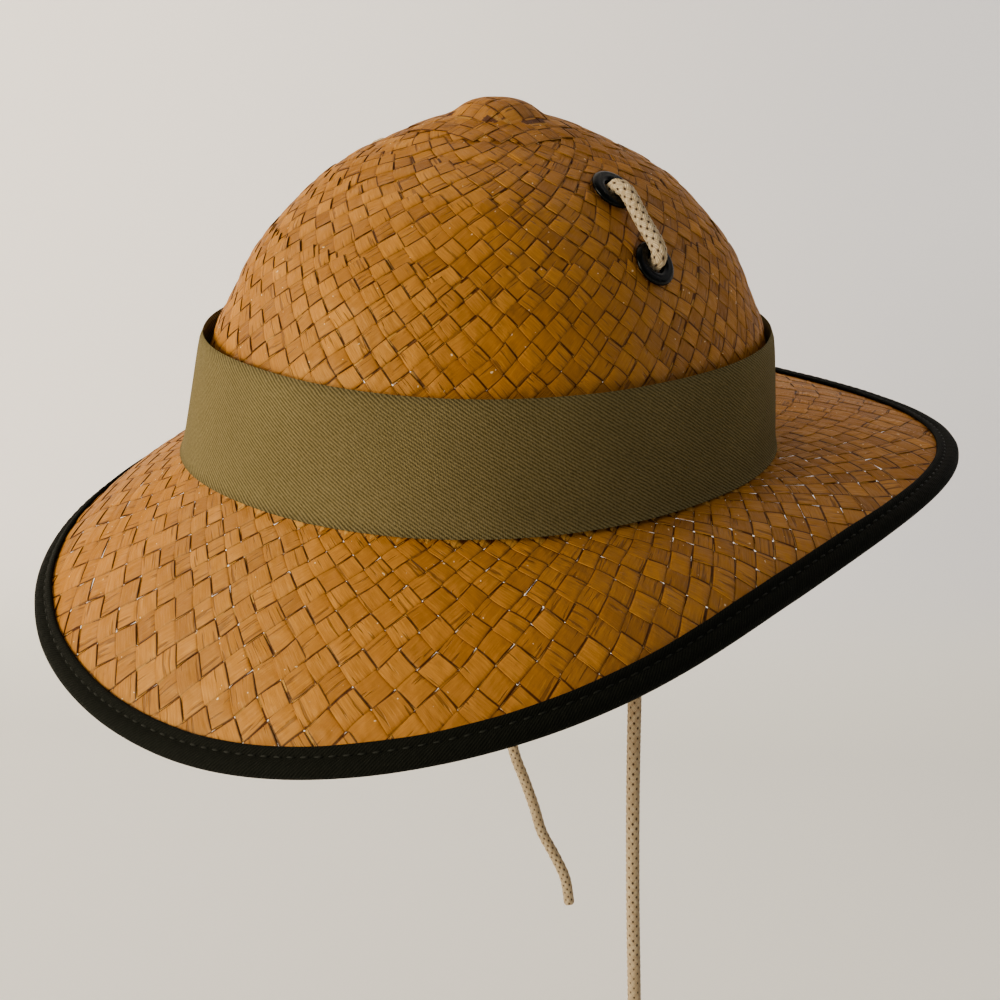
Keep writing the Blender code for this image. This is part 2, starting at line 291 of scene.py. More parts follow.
# %% Small tools
class Graph:
    """Adds nodes to a tree: inputs that are sockets are linked, others are set."""

    def __init__(self, tree):
        self.tree = tree

    def link(self, value, socket):
        self.tree.links.new(value, socket)

    def add(self, kind, inputs=None, **settings):
        node = self.tree.nodes.new(kind)
        for name, value in settings.items():
            setattr(node, name, value)
        for name, value in (inputs or {}).items():
            socket = node.inputs[name]
            if isinstance(value, bpy.types.NodeSocket):
                self.link(value, socket)
            else:
                socket.default_value = value
        return node

    def math(self, operation, *values):
        kind = "ShaderNodeMath"
        return self.add(kind, dict(enumerate(values)), operation=operation).outputs[0]

    def vector(self, operation, *values):
        kind = "ShaderNodeVectorMath"
        return self.add(kind, dict(enumerate(values)), operation=operation).outputs[0]

    def ramp(self, value, low, high, start=0.0, end=1.0):
        """Smooth step of a value from low to high, giving start to end."""
        names = {"Value": value, "From Min": low, "From Max": high, "To Min": start, "To Max": end}
        kind = "ShaderNodeMapRange"
        return self.add(kind, names, interpolation_type="SMOOTHSTEP").outputs["Result"]

    def noise_at(self, place, scale, detail, **more):
        """The grey of a noise pattern at a place."""
        inputs = {"Vector": place, "Scale": scale, "Detail": detail, **more}
        return self.add("ShaderNodeTexNoise", inputs).outputs["Fac"]

    def spot(self):
        """The place on the object, in metres along its own axes."""
        return self.add("ShaderNodeTexCoord").outputs["Object"]

    def stored(self, name):
        """A number that the mesh stores at its points."""
        return self.add("ShaderNodeAttribute", attribute_name=name).outputs["Fac"]

    def mix(self, share, first, second):
        """Mixes two colours."""
        node = self.tree.nodes.new("ShaderNodeMix")
        node.data_type = "RGBA"
        for name, value in (("Factor_Float", share), ("A_Color", first), ("B_Color", second)):
            socket = next(s for s in node.inputs if s.identifier == name)
            if isinstance(value, bpy.types.NodeSocket):
                self.link(value, socket)
            else:
                socket.default_value = (*value, 1) if isinstance(value, tuple) else value
        return next(s for s in node.outputs if s.identifier == "Result_Color")


def node_group(name, kind, inputs, outputs):
    """A new node group with its sockets, as (group, graph, input node, output node)."""
    group = bpy.data.node_groups.new(name, kind)
    for label, socket, default in inputs:
        socket_type = "NodeSocket" + socket
        made = group.interface.new_socket(label, in_out="INPUT", socket_type=socket_type)
        if default is not None:
            made.default_value = default
    for label, socket in outputs:
        group.interface.new_socket(label, in_out="OUTPUT", socket_type="NodeSocket" + socket)
    graph = Graph(group)
    return group, graph, graph.add("NodeGroupInput"), graph.add("NodeGroupOutput")


def material(name):
    """A material with nodes, as (material, graph, its shader)."""
    made = bpy.data.materials.new(name)
    made.use_nodes = True
    return made, Graph(made.node_tree), made.node_tree.nodes["Principled BSDF"]


def link_object(name, data):
    obj = bpy.data.objects.new(name, data)
    bpy.context.scene.collection.objects.link(obj)
    return obj


def grown(obj, group, values):
    """obj as the plain mesh that a Geometry Nodes group makes of it, its inputs set by name."""
    modifier = obj.modifiers.new("Recipe", "NODES")
    modifier.node_group = group
    for item in group.interface.items_tree:
        if item.in_out == "INPUT" and item.name in values:
            modifier[item.identifier] = values[item.name]
    bpy.context.view_layer.update()
    graph = bpy.context.evaluated_depsgraph_get()
    mesh = bpy.data.meshes.new_from_object(obj.evaluated_get(graph), depsgraph=graph)
    mesh.name = obj.name
    name = obj.name
    bpy.data.objects.remove(obj, do_unlink=True)
    return link_object(name, mesh)


def end_recipe(graph, mesh, given, result):
    """Gives the mesh of a Geometry Nodes recipe its material and hands it on."""
    inputs = {"Geometry": mesh, "Material": given.outputs["Material"]}
    graph.link(graph.add("GeometryNodeSetMaterial", inputs).outputs[0], result.inputs[0])


def line_object(name, points, closed=False):
    """A curve that runs straight from point to point."""
    curve = bpy.data.curves.new(name, "CURVE")
    curve.dimensions = "3D"
    spline = curve.splines.new("POLY")
    spline.points.add(len(points) - 1)
    spline.use_cyclic_u = closed
    for control, point in zip(spline.points, points):
        control.co = (*point, 1)
    return link_object(name, curve)


def triangles(obj):
    obj.data.calc_loop_triangles()
    return len(obj.data.loop_triangles)


print("tools ready")

# %% [markdown]
# ## Chin cord
#
# A round braid: ten cotton yarns, half of them running round one way and half the other, each
# passing over and under. A tube is swept along the cord's line, then its skin is raised in the
# small diamonds that the crossing yarns make.

# %% Cord recipe
# yarns that run round one way, and the length in which one of them goes round once
BRAID_YARNS = 5
BRAID_PITCH = 0.0175


def braid_fields(graph, turn_x, turn_y, along):
    """Both families' count of yarns up to a point of the skin, and how high each yarn's back is."""
    angle = graph.math("DIVIDE", graph.math("ARCTAN2", turn_y, turn_x), 2 * pi)
    round_cord = graph.math("MULTIPLY", angle, float(BRAID_YARNS))
    down_cord = graph.math("MULTIPLY", along, BRAID_YARNS / BRAID_PITCH)
    rising = graph.math("ADD", round_cord, down_cord)
    falling = graph.math("SUBTRACT", round_cord, down_cord)
    halves = [graph.math("MULTIPLY", field, pi) for field in (rising, falling)]
    waves = [graph.math("ABSOLUTE", graph.math("SINE", half)) for half in halves]
    return rising, falling, waves


cord_group, g, given, result = node_group(
    "Braided cord",
    "GeometryNodeTree",
    [
        ("Line", "Geometry", None),
        ("Radius", "Float", CORD_RADIUS),
        ("Step", "Float", 0.0006),
        ("Relief", "Float", 0.00044),
        ("Material", "Material", None),
    ],
    [("Mesh", "Geometry")],
)
line = g.add(
    "GeometryNodeResampleCurve",
    {"Curve": given.outputs["Line"], "Length": given.outputs["Step"]},
    mode="LENGTH",
)
place_along = g.add("GeometryNodeSplineParameter")
line = g.add(
    "GeometryNodeStoreNamedAttribute",
    {"Geometry": line.outputs[0], "Name": "along", "Value": place_along.outputs["Length"]},
    data_type="FLOAT",
    domain="POINT",
)
ring = g.add(
    "GeometryNodeCurvePrimitiveCircle",
    {"Resolution": 24, "Radius": given.outputs["Radius"]},
    mode="RADIUS",
)
place_round = g.add("GeometryNodeSplineParameter")
turn = g.math("MULTIPLY", place_round.outputs["Factor"], 2 * pi)
for label, operation in (("turn_x", "COSINE"), ("turn_y", "SINE")):
    ring = g.add(
        "GeometryNodeStoreNamedAttribute",
        {"Geometry": ring.outputs[0], "Name": label, "Value": g.math(operation, turn)},
        data_type="FLOAT",
        domain="POINT",
    )
tube = g.add(
    "GeometryNodeCurveToMesh",
    {"Curve": line.outputs[0], "Profile Curve": ring.outputs[0], "Fill Caps": True},
)
read = [
    g.add("GeometryNodeInputNamedAttribute", {"Name": n}, data_type="FLOAT").outputs[0]
    for n in ("turn_x", "turn_y", "along")
]
_, _, waves = braid_fields(g, *read)
bump = g.math("POWER", g.math("MULTIPLY", *waves), 0.6)
height = g.math("MULTIPLY", g.math("SUBTRACT", bump, 0.75), given.outputs["Relief"])
normal = g.add("GeometryNodeInputNormal")
offset = g.add(
    "ShaderNodeVectorMath", {0: normal.outputs[0], "Scale": height}, operation="SCALE"
)
raised = g.add(
    "GeometryNodeSetPosition", {"Geometry": tube.outputs[0], "Offset": offset.outputs[0]}
)
real = g.add("GeometryNodeRealizeInstances", {"Geometry": raised.outputs[0]})
end_recipe(g, real.outputs[0], given, result)
print("cord recipe:", len(cord_group.nodes), "nodes")

# %% [markdown]
# The cotton is undyed, dull and soft. The tiny gaps between its yarns are painted almost black as
# painted shade, some more than others, because the yarns don't lie equally close. The hollows where
# yarns cross and between their strands are painted darker too, as painted shade. The hanging ends
# are painted darker, as painted shade below the brim.

# %% Cotton
cotton, g, shader = material("cotton")
rising, falling, waves = braid_fields(g, *(g.stored(n) for n in ("turn_x", "turn_y", "along")))
open_share = g.math("MAXIMUM", *waves)
crease = g.ramp(g.math("MULTIPLY", *waves), 0.0, 0.30, 0.45, 0.0)
place = g.spot()
speckle = g.noise_at(place, 900.0, 3.0)
patch = g.noise_at(place, 60.0, 2.0)
yarn = g.mix(g.ramp(speckle, 0.3, 0.7), (0.50, 0.37, 0.20), (0.76, 0.62, 0.40))
yarn = g.mix(g.ramp(patch, 0.35, 0.7, 0.0, 0.35), yarn, (0.40, 0.27, 0.14))
# Painted shade: the hollows where the yarns cross are darker.
yarn = g.mix(crease, yarn, (0.26, 0.16, 0.07))
shader.inputs["Roughness"].default_value = 0.9
shader.inputs["Specular IOR Level"].default_value = 0.25
cell = g.math("ADD", g.math("FLOOR", rising), g.math("FLOOR", falling))
leans = g.math("MODULO", g.math("ABSOLUTE", cell), 2.0)
other = g.math("MULTIPLY", falling, g.math("SUBTRACT", 1.0, leans))
both = g.math("ADD", g.math("MULTIPLY", rising, leans), other)
strands = g.math("SINE", g.math("MULTIPLY", both, 8 * pi))
# Painted shade: darker lines between the strands of each yarn.
yarn = g.mix(g.ramp(strands, -1.0, 0.6, 0.40, 0.0), yarn, (0.30, 0.19, 0.09))
level_of = g.add("ShaderNodeSeparateXYZ", {0: place}).outputs["Z"]
# Painted shade: the cord darkens below the brim's level, towards the hanging ends.
yarn = g.mix(g.ramp(level_of, -0.09, 0.00, 0.45, 0.0), yarn, (0.29, 0.21, 0.12))
# Painted shade: the gaps between yarns turn near black, some more than others.
open_share = g.math("ADD", open_share, g.math("MULTIPLY", g.math("SUBTRACT", patch, 0.5), 0.5))
color = g.mix(g.ramp(open_share, 0.30, 0.66), (0.040, 0.020, 0.010), yarn)
g.link(color, shader.inputs["Base Color"])
bumps = g.add(
    "ShaderNodeBump",
    {"Height": g.math("ADD", strands, speckle), "Strength": 0.8, "Distance": 0.00012},
)
g.link(bumps.outputs[0], shader.inputs["Normal"])
print("cotton ready")

# %% [markdown]
# The cord is one length on the real hat. It is made as the held stretch and two loose ends, and
# each loose end's length is measured and printed.


# %% Cords
def smooth_line(route, steps):
    count = steps * (len(route) - 1)
    return [through(route, k / count) for k in range(count + 1)]


def length_of(points):
    return sum((b - a).length for a, b in zip(points, points[1:]))


def braided(name, points, radius=CORD_RADIUS):
    values = {"Material": cotton, "Radius": radius}
    made = grown(line_object(name, points), cord_group, values)
    made.data.shade_smooth()
    return made


HELD_RADIUS = 0.0025
LINE_STEPS = 6
left_half = [(x, 0, z) for x, z in CORD_HELD_HALF]
right_half = [(-x, 0, z) for x, z in CORD_HELD_HALF[:0:-1]]
held = braided("braid_crown", smooth_line(right_half + left_half, LINE_STEPS), HELD_RADIUS)
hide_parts("cord_crown")
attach(held, "root")
for side, route in (("left", CORD_TAIL_LEFT), ("right", CORD_TAIL_RIGHT)):
    points = smooth_line(route, LINE_STEPS)
    tail = braided(f"braid_tail_{side}", points)
    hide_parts(f"cord_tail_{side}")
    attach(tail, "root")
    print(tail.name, triangles(tail), "triangles", round(length_of(points), 4), "m")

# %% [markdown]
# ## Woven straw
#
# Flat strips cross at right angles, and each goes over one, then under one. Seen from outside the
# hat is a net of small pads: each pad is the stretch of a strip between two that cover it.
# One pad is modelled, laid out flat for the whole weave, then wrapped onto the hat, which is
# quicker than modelling strips that wind round the head.

# %% One pad of straw
# side of a cell of the flat weave, which a guide shrinks to the real pad
PAD_CELL = 0.01
# how high a pad stands in its middle, and how much its sides fall
STRIP_RISE = 0.00025
STRIP_DOME = 0.00007
STRIP_HALF = 0.5
# A pad's underside lies at least this far below its top and below the sheet's middle, so that it
# doesn't show on the wall's other face.
STRIP_LEAST = 0.00004
STRIP_FOOT = 0.00002


def pad_mesh(name, along, across, inside=False):
    """One strip between two that cover it: x runs along it, in cells, and z is in metres."""
    grid = bmesh.new()
    fibre = grid.verts.layers.float_vector.new("fibre")
    rows = []
    for a in [-step for step in along[:0:-1]] + along:
        bend = abs(a) / 0.5
        half = STRIP_HALF * (1 - 0.05 * min(1, bend) ** 8)
        top = STRIP_RISE * (1 - bend**6)
        row = []
        for b in [-1, *across, 1]:
            under = len(row) in (0, len(across) + 1)
            z = top - STRIP_DOME * b**2
            if under:
                z = min(z - STRIP_LEAST, -STRIP_FOOT)
            vert = grid.verts.new((a, b * half, -z if inside else z))
            vert[fibre] = (a, b * half, 1 if under else 0)
            row.append(vert)
        rows.append(row)
    faces = [rows[0], rows[-1][::-1]]
    for near, far in zip(rows, rows[1:]):
        faces.append((far[0], near[0], near[-1], far[-1]))
        for k in range(len(near) - 1):
            faces.append((near[k], far[k], far[k + 1], near[k + 1]))
    for face in faces:
        grid.faces.new(face)
    for edge in grid.edges:
        cut = [vert[fibre].z + (abs(vert[fibre].y) > 0.4) for vert in edge.verts]
        edge.smooth = cut == [0, 0] or sum(cut) == 3
    bmesh.ops.recalc_face_normals(grid, faces=grid.faces)
    mesh = bpy.data.meshes.new(name)
    grid.to_mesh(mesh)
    grid.free()
    return mesh


# The inner face shows less, so its pads have fewer faces.
fine_pad = pad_mesh("pad_outside", [0, 0.25, 0.39, 0.455, 0.50, 0.525], [-1, -0.7, 0, 0.7, 1])
plain_pad = pad_mesh("pad_inside", [0, 0.36, 0.47, 0.505], [-1, 0, 1], inside=True)
pad_outside = link_object("pad_outside", fine_pad)
pad_inside = link_object("pad_inside", plain_pad)
print("faces of a pad:", triangles(pad_outside), "outside,", triangles(pad_inside), "inside")

# %% [markdown]
# ### Wrapping recipe
#
# Points mark the pads of the flat weave. A pad is put on each, turned along its strip, and then
# every corner is carried from the flat sheet to the hat: the flat sheet's place is looked up on a
# guide surface, and the height above the sheet becomes height above the guide.

# %% Wrapping recipe
wrap_group, g, given, result = node_group(
    "Wrapped weave",
    "GeometryNodeTree",
    [
        ("Pads", "Geometry", None),
        ("Pad", "Object", None),
        ("Guide", "Object", None),
        ("Material", "Material", None),
    ],
    [("Mesh", "Geometry")],
)


def attribute(graph, name, kind):
    made = graph.add("GeometryNodeInputNamedAttribute", {"Name": name}, data_type=kind)
    return next(s for s in made.outputs if s.enabled and s.name == "Attribute")


pad = g.add("GeometryNodeObjectInfo", {"Object": given.outputs["Pad"]})
guide = g.add("GeometryNodeObjectInfo", {"Object": given.outputs["Guide"]})
turn = g.add("FunctionNodeEulerToRotation", {"Euler": attribute(g, "turn", "FLOAT_VECTOR")})
laid = g.add(
    "GeometryNodeInstanceOnPoints",
    {
        "Points": given.outputs["Pads"],
        "Instance": pad.outputs["Geometry"],
        "Rotation": turn.outputs[0],
        "Scale": attribute(g, "size", "FLOAT_VECTOR"),
    },
)
flat = g.add("GeometryNodeRealizeInstances", {"Geometry": laid.outputs[0]})
position = g.add("GeometryNodeInputPosition").outputs[0]
apart = g.add("ShaderNodeSeparateXYZ", {0: position})
normal = g.add("GeometryNodeInputNormal").outputs[0]
carried = []
for field in (position, normal):
    look = g.add("GeometryNodeSampleUVSurface", data_type="FLOAT_VECTOR")
    g.link(guide.outputs["Geometry"], look.inputs["Mesh"])
    value = next(s for s in look.inputs if s.enabled and s.name == "Value")
    g.link(field, value)
    g.link(attribute(g, "lay", "FLOAT_VECTOR"), look.inputs["UV Map"])
    g.link(position, look.inputs["Sample UV"])
    carried.append(next(s for s in look.outputs if s.enabled and s.name == "Value"))
outward = g.add("ShaderNodeVectorMath", {0: carried[1]}, operation="NORMALIZE").outputs[0]
lift = g.add(
    "ShaderNodeVectorMath", {0: outward, "Scale": apart.outputs["Z"]}, operation="SCALE"
).outputs[0]
wrapped = g.add(
    "GeometryNodeSetPosition",
    {"Geometry": flat.outputs[0], "Position": g.vector("ADD", carried[0], lift)},
)
end_recipe(g, wrapped.outputs[0], given, result)
print("wrapping recipe:", len(wrap_group.nodes), "nodes")

# %% [markdown]
# ### Straw
#
# Each strip is a split, flattened stem: fine fibres run along it, and strips differ in colour.
# The dips are painted dark brown, partly varnish stain and partly painted shade: at the end of each
# pad and along the side where it slips under its neighbour, darkest on the end and side away from
# the window light. Walls on the side toward the window get a painted highlight, the strips that
# fall to the right are painted lighter as if better lit, and pale flecks are painted glints. The
# pads themselves are glossy.

# %% Straw
fibre_group, g, given, result = node_group(
    "Straw fibres",
    "ShaderNodeTree",
    [("Place", "Vector", None), ("Strip", "Float", 0.0)],
    [("Lines", "Float"), ("Splits", "Float")],
)
# Each strip reads its own part of the noise.
shift_x, shift_z = (g.math("MULTIPLY", given.outputs["Strip"], far) for far in (37.0, 91.0))
shifted = g.add("ShaderNodeCombineXYZ", {0: shift_x, 1: 0.0, 2: shift_z}).outputs[0]
stretched = g.vector("MULTIPLY", given.outputs["Place"], (1.1, 13.0, 0.0))
lines = g.noise_at(g.vector("ADD", stretched, shifted), 1.0, 5.0, Roughness=0.62)
coarse = g.vector("MULTIPLY", given.outputs["Place"], (0.45, 5.5, 0.0))
splits = g.noise_at(g.vector("ADD", coarse, shifted), 1.0, 2.0)
g.link(lines, result.inputs["Lines"])
g.link(g.ramp(splits, 0.615, 0.66), result.inputs["Splits"])

straw, g, shader = material("straw")
fibre = g.add("ShaderNodeAttribute", attribute_name="fibre")
strip = g.stored("strip_shade")
single = g.stored("pad_shade")
place = g.spot()
fibres = g.add("ShaderNodeGroup", node_tree=fibre_group)
g.link(fibre.outputs["Vector"], fibres.inputs["Place"])
g.link(g.math("ADD", single, g.math("MULTIPLY", strip, 0.3)), fibres.inputs["Strip"])
across = g.add("ShaderNodeSeparateXYZ", {0: fibre.outputs["Vector"]})
# X runs along a pad and Y across it, both from -0.5 to 0.5, and Z is 1 on its underside. The
# dark lines are painted shade: they follow the end and side away from the window light, which
# differ between the two families of strips.
from_middle = g.math("ABSOLUTE", across.outputs["X"])
end_dip_shade = g.ramp(from_middle, 0.25, 0.50)
family = g.stored("family")
falls = g.ramp(family, 0.45, 0.55, -1.0, 1.0)
to_shade = g.math("MULTIPLY", across.outputs["Y"], falls)
shady_side = g.ramp(to_shade, -0.1, 0.1)
shady_end = g.ramp(across.outputs["X"], -0.1, 0.1, 1.0, 0.35)
reach = g.math("SUBTRACT", from_middle, g.math("MULTIPLY", family, 0.03))
end = g.math("MULTIPLY", g.ramp(reach, 0.415, 0.450), shady_end)
end = g.math("MAXIMUM", end, g.ramp(to_shade, 0.440, 0.480))
blotch = g.noise_at(place, 26.0, 3.0)
fine = g.noise_at(place, 420.0, 2.0)
painted_glint = g.noise_at(place, 640.0, 1.0)
tone = g.math("ADD", g.math("MULTIPLY", strip, 0.30), g.math("MULTIPLY", single, 0.45))
# Painted light: the strips that fall to the right are lighter, as if lit, the others darker, as if
# shaded.
tone = g.math("ADD", tone, g.math("MULTIPLY", family, 0.30))
base = g.mix(tone, (0.180, 0.066, 0.0085), (0.45, 0.186, 0.021))
base = g.mix(g.ramp(blotch, 0.35, 0.68, 0.0, 0.35), base, (0.36, 0.130, 0.004))
base = g.mix(g.ramp(fibres.outputs["Lines"], 0.35, 0.62, 0.35, 0.0), base, (0.20, 0.068, 0.004))
base = g.mix(g.ramp(fibres.outputs["Lines"], 0.55, 0.75, 0.0, 0.25), base, (0.66, 0.31, 0.025))
base = g.mix(g.math("MULTIPLY", fibres.outputs["Splits"], 0.62), base, (0.09, 0.030, 0.006))
base = g.mix(g.ramp(fine, 0.62, 0.80, 0.0, 0.30), base, (0.20, 0.075, 0.012))
# Painted glints: small pale flecks stand for sparkles of light on the varnish.
base = g.mix(g.ramp(painted_glint, 0.76, 0.80, 0.0, 0.75), base, (0.85, 0.66, 0.36))
# Painted shade: pads darken towards their ends, where they dip under their neighbours, and the dark
# lines at the end and side away from the window are painted shade with some varnish stain.
base = g.mix(g.math("MULTIPLY", end_dip_shade, 0.18), base, (0.18, 0.055, 0.004))
base = g.mix(g.math("MULTIPLY", end, 0.90), base, (0.034, 0.006, 0.001))
# Painted highlight: the walls on the side toward the window are lighter, partly the paler cut
# straw.
edge = g.ramp(across.outputs["Z"], 0.0, 0.3, 0.0, 0.5)
lit_edge = g.math("MULTIPLY", edge, g.math("SUBTRACT", 1.0, shady_side))
base = g.mix(lit_edge, base, (0.66, 0.34, 0.055))
# Painted shade: the walls and undersides turn near black, most on the side away from the window.
under = g.ramp(across.outputs["Z"], 0.2, 0.7, 0.0, 0.9)
cut = g.math("MULTIPLY", under, g.ramp(shady_side, 0.0, 1.0, 0.25, 1.0))
base = g.mix(cut, base, (0.050, 0.010, 0.002))
g.link(base, shader.inputs["Base Color"])
g.link(g.ramp(fibres.outputs["Lines"], 0.3, 0.7, 0.55, 0.38), shader.inputs["Roughness"])
# Varnish shines most where the pads face the viewer, and its shine is a little golden.
facing = g.add("ShaderNodeLayerWeight", {"Blend": 0.5}).outputs["Facing"]
g.link(g.ramp(facing, 0.25, 0.65, 0.26, 0.02), shader.inputs["Specular IOR Level"])
shader.inputs["Specular Tint"].default_value = (1.0, 0.74, 0.34, 1)
buckle = g.noise_at(place, 190.0, 1.0)
grooves = g.math("MULTIPLY", fibres.outputs["Splits"], 0.8)
depth = g.math("SUBTRACT", g.math("MULTIPLY", fibres.outputs["Lines"], 0.7), grooves)
depth = g.math("ADD", depth, g.math("MULTIPLY", fine, 0.3))
depth = g.math("ADD", depth, g.math("MULTIPLY", buckle, 3.2))
bumps = g.add("ShaderNodeBump", {"Height": depth, "Strength": 0.75, "Distance": 0.0003})
g.link(bumps.outputs[0], shader.inputs["Normal"])
print("straw ready")

# %% [markdown]
# ### Laying out the weave
#
# A hat is started at the top with few strips, and more are added as it widens, so the pads keep
# much the same size. The weave is made in zones with a constant count of strips each. The brim
# gets no new strips, so its pads grow towards the edge.


# %% Weave layout
FULL_TURN = 240
GUIDE_COLUMNS = 180
# A guide runs on past the seam at the back by this many cells, so that every pad lies on it.
SPARE_CELLS = 2.6
# Strips lie straight beside an eyelet, within this distance and the fade beyond it.
CALM_WITHIN = 0.008
CALM_FADE = 0.012
WANDER_GRAIN = 70
# Without a seed, noise vectors start from the clock, and the strips would wander anew each run.
noise.seed_set(11)
turn_table = [-pi + 2 * pi * k / FULL_TURN for k in range(FULL_TURN + 1)]
foot_line = [crown_point(a, 1) for a in turn_table]
foot_arc = np.cumsum([0] + [(b - a).length for a, b in zip(foot_line, foot_line[1:])])
FOOT_LENGTH = float(foot_arc[-1])


def direction_at(share):
    """Direction at a share of the way round the crown's foot, which starts and ends at the back."""
    whole = np.floor(share)
    return float(np.interp((share - whole) * FOOT_LENGTH, foot_arc, turn_table)) + 2 * pi * whole


eyelet_places = [eyelet_place(*row) for row in EYELETS]


def calm(point):
    """How freely strips wander at a point: 1 in the open, 0 beside an eyelet."""
    nearest = min((point - place).length for place, _ in eyelet_places)
    return min(max((nearest - CALM_WITHIN) / CALM_FADE, 0), 1)


def guide_object(name, points, faces, flat):
    """A surface whose map, named lay, says where each of its points is on the flat weave."""
    mesh = bpy.data.meshes.new(name)
    mesh.from_pydata(points, [], faces)
    layer = mesh.uv_layers.new(name="lay")
    loops = np.empty(len(mesh.loops), np.int32)
    mesh.loops.foreach_get("vertex_index", loops)
    layer.data.foreach_set("uv", (np.array(flat)[loops] * PAD_CELL).ravel())
    mesh.shade_smooth()
    return link_object(name, mesh)


def make_guide(name, place, count, rows, wander):
    """A guide all the way round the head for count strips. rows are (v, key)."""
    spare = int(GUIDE_COLUMNS * SPARE_CELLS / count) + 2
    grid = []
    for k in range(-spare, GUIDE_COLUMNS + spare + 1):
        share = k / GUIDE_COLUMNS
        direction = direction_at(share)
        grid.append([(place(direction, key), share * count, v) for v, key in rows])
    high = len(rows)
    faces = []
    for k in range(len(grid) - 1):
        for j in range(high - 1):
            a = k * high + j
            faces.append((a, a + high, a + high + 1, a + 1))
    points = [p for column in grid for p, _, _ in column]
    flat = []
    for column in grid:
        for p, u, v in column:
            drift = noise.noise_vector(p * WANDER_GRAIN) * (wander * calm(p))
            flat.append((u + drift.x, v + drift.y))
    return guide_object(name, points, faces, flat)


def pad_points(name, cells):
    """A point for each pad of the flat weave, with its turn, size and shades as attributes."""
    mesh = bpy.data.meshes.new(name)
    mesh.from_pydata([(c["u"] * PAD_CELL, c["v"] * PAD_CELL, c["z"]) for c in cells], [], [])
    for label, kind in (("turn", "FLOAT_VECTOR"), ("size", "FLOAT_VECTOR")):
        layer = mesh.attributes.new(label, kind, "POINT")
        layer.data.foreach_set("vector", np.array([c[label] for c in cells], np.float32).ravel())
    for label in ("strip_shade", "pad_shade", "family"):
        layer = mesh.attributes.new(label, "FLOAT", "POINT")
        layer.data.foreach_set("value", np.array([c[label] for c in cells], np.float32))
    return link_object(name, mesh)


# The strips that fall to the right stand higher and lie over their neighbours' edges, and the
# others are narrower.
WIDE_STRIP = 1.05
SLIM_STRIP = 0.985
HIGH_PAD = 1.35
LOW_PAD = 0.85
RAISED = 0.00006
UNEVEN = 0.00003
# Strips beside an eyelet are this wide at most, so that there is room to part them.
PARTED_WIDTH = 0.93
PARTED_REACH = 1.3


def weave_cells(count, low, high, inside, shift, keep, contrast=1.0, narrow=0.05, parted=()):
    """The pads of a zone that show on one face, from row low to row high of the flat weave."""
    local = np.random.default_rng(int(count * 100 + shift * 10))
    shades = local.random((2, count))
    widths = 1 + 0.04 * local.standard_normal((2, count))
    widths -= 0.12 * (local.random((2, count)) < narrow)
    cells = []
    side = PAD_CELL / sqrt(2)
    for k in range(int(np.ceil(2 * low)), int(np.floor(2 * high)) + 1):
        v = k / 2
        for m in range(count):
            rising = (k % 2 == 0) != inside
            u = m + (0.5 if k % 2 == 0 else 0.0)
            index = int(round(u - v - 0.5 if rising else u + v - 0.5)) % count
            family = 0 if rising else 1
            chance = local.standard_normal(5)
            single = local.random()
            tuck = keep((u + shift) / count, v)
            if tuck is None:
                continue
            height = LOW_PAD if rising else HIGH_PAD
            width = widths[family][index] * (SLIM_STRIP if rising else WIDE_STRIP)
            width *= 1 + 0.025 * chance[0]
            if any(hypot(u + shift - a, v - b) < PARTED_REACH for a, b in parted):
                width = min(width, PARTED_WIDTH)
                chance = chance * 0
            raised = 0.0 if rising else RAISED
            stand = UNEVEN * min(max(chance[1], -1), 2) + raised
            lift = tuck - STRAW_WALL / 2 + (-stand if inside else stand)
            size = (side * (1 + 0.02 * chance[3]), side * width, height + 0.10 * chance[4])
            cells.append(
                {
                    "u": u + shift,
                    "v": v,
                    "z": lift,
                    "turn": (0, 0, (pi / 4 if rising else -pi / 4) + 0.028 * chance[2]),
                    "size": size,
                    "strip_shade": shades[family][index],
                    "pad_shade": single,
                    "family": 0.5 + (family - 0.5) * contrast,
                }
            )
    return cells


def weave(name, cells, pad_object, guide):
    """The pads of one face, wrapped onto a guide, as one mesh of straw."""
    values = {"Pad": pad_object, "Guide": guide, "Material": straw}
    piece = grown(pad_points(name, cells), wrap_group, values)
    print(piece.name, len(cells), "pads", triangles(piece), "triangles")
    return piece


WALL_FACES = (("outside", pad_outside, False), ("inside", pad_inside, True))
print("foot of the crown is", round(FOOT_LENGTH, 4), "m round")

# %% [markdown]
# ### Brim
#
# The brim's rows keep their true distance from the crown, so rows run off the edge where the brim
# is short at the sides. Ends beyond the edge are tucked in, where the tape will cover them.

# %% Brim weave
BRIM_STRIPS = 76
# how far the brim's weave runs up the crown
RISE_ON_CROWN = 0.012
# Beyond this distance from the edge, what is left of a strip is pressed together under the tape.
EDGE_TUCK = 0.0015
TUCKED_SHARE = 0.04


def foot_place(direction, away):
    """A point at a distance from the crease: up the crown if negative, out on the brim if not."""
    if away < -CREASE:
        return crown_point(direction, crown_share(-away / CROWN_HEIGHT))
    length = brim_length(direction)
    if away > CREASE:
        limit = length - EDGE_TUCK
        if away > limit:
            away = limit + (away - limit) * TUCKED_SHARE
        return brim_point(direction, away / length)
    t = (away + CREASE) / (2 * CREASE)
    start = crown_point(direction, crown_share(CREASE / CROWN_HEIGHT))
    corner = crown_point(direction, 1)
    end = brim_point(direction, CREASE / length)
    return start * (1 - t) ** 2 + corner * 2 * t * (1 - t) + end * t**2


edge_length = sum(
    (brim_point(b, 1) - brim_point(a, 1)).length for a, b in zip(turn_table, turn_table[1:])
)
mean_length = float(np.mean([brim_length(a) for a in turn_table]))
cell_start = FOOT_LENGTH / BRIM_STRIPS
cell_growth = (edge_length - FOOT_LENGTH) / BRIM_STRIPS / mean_length


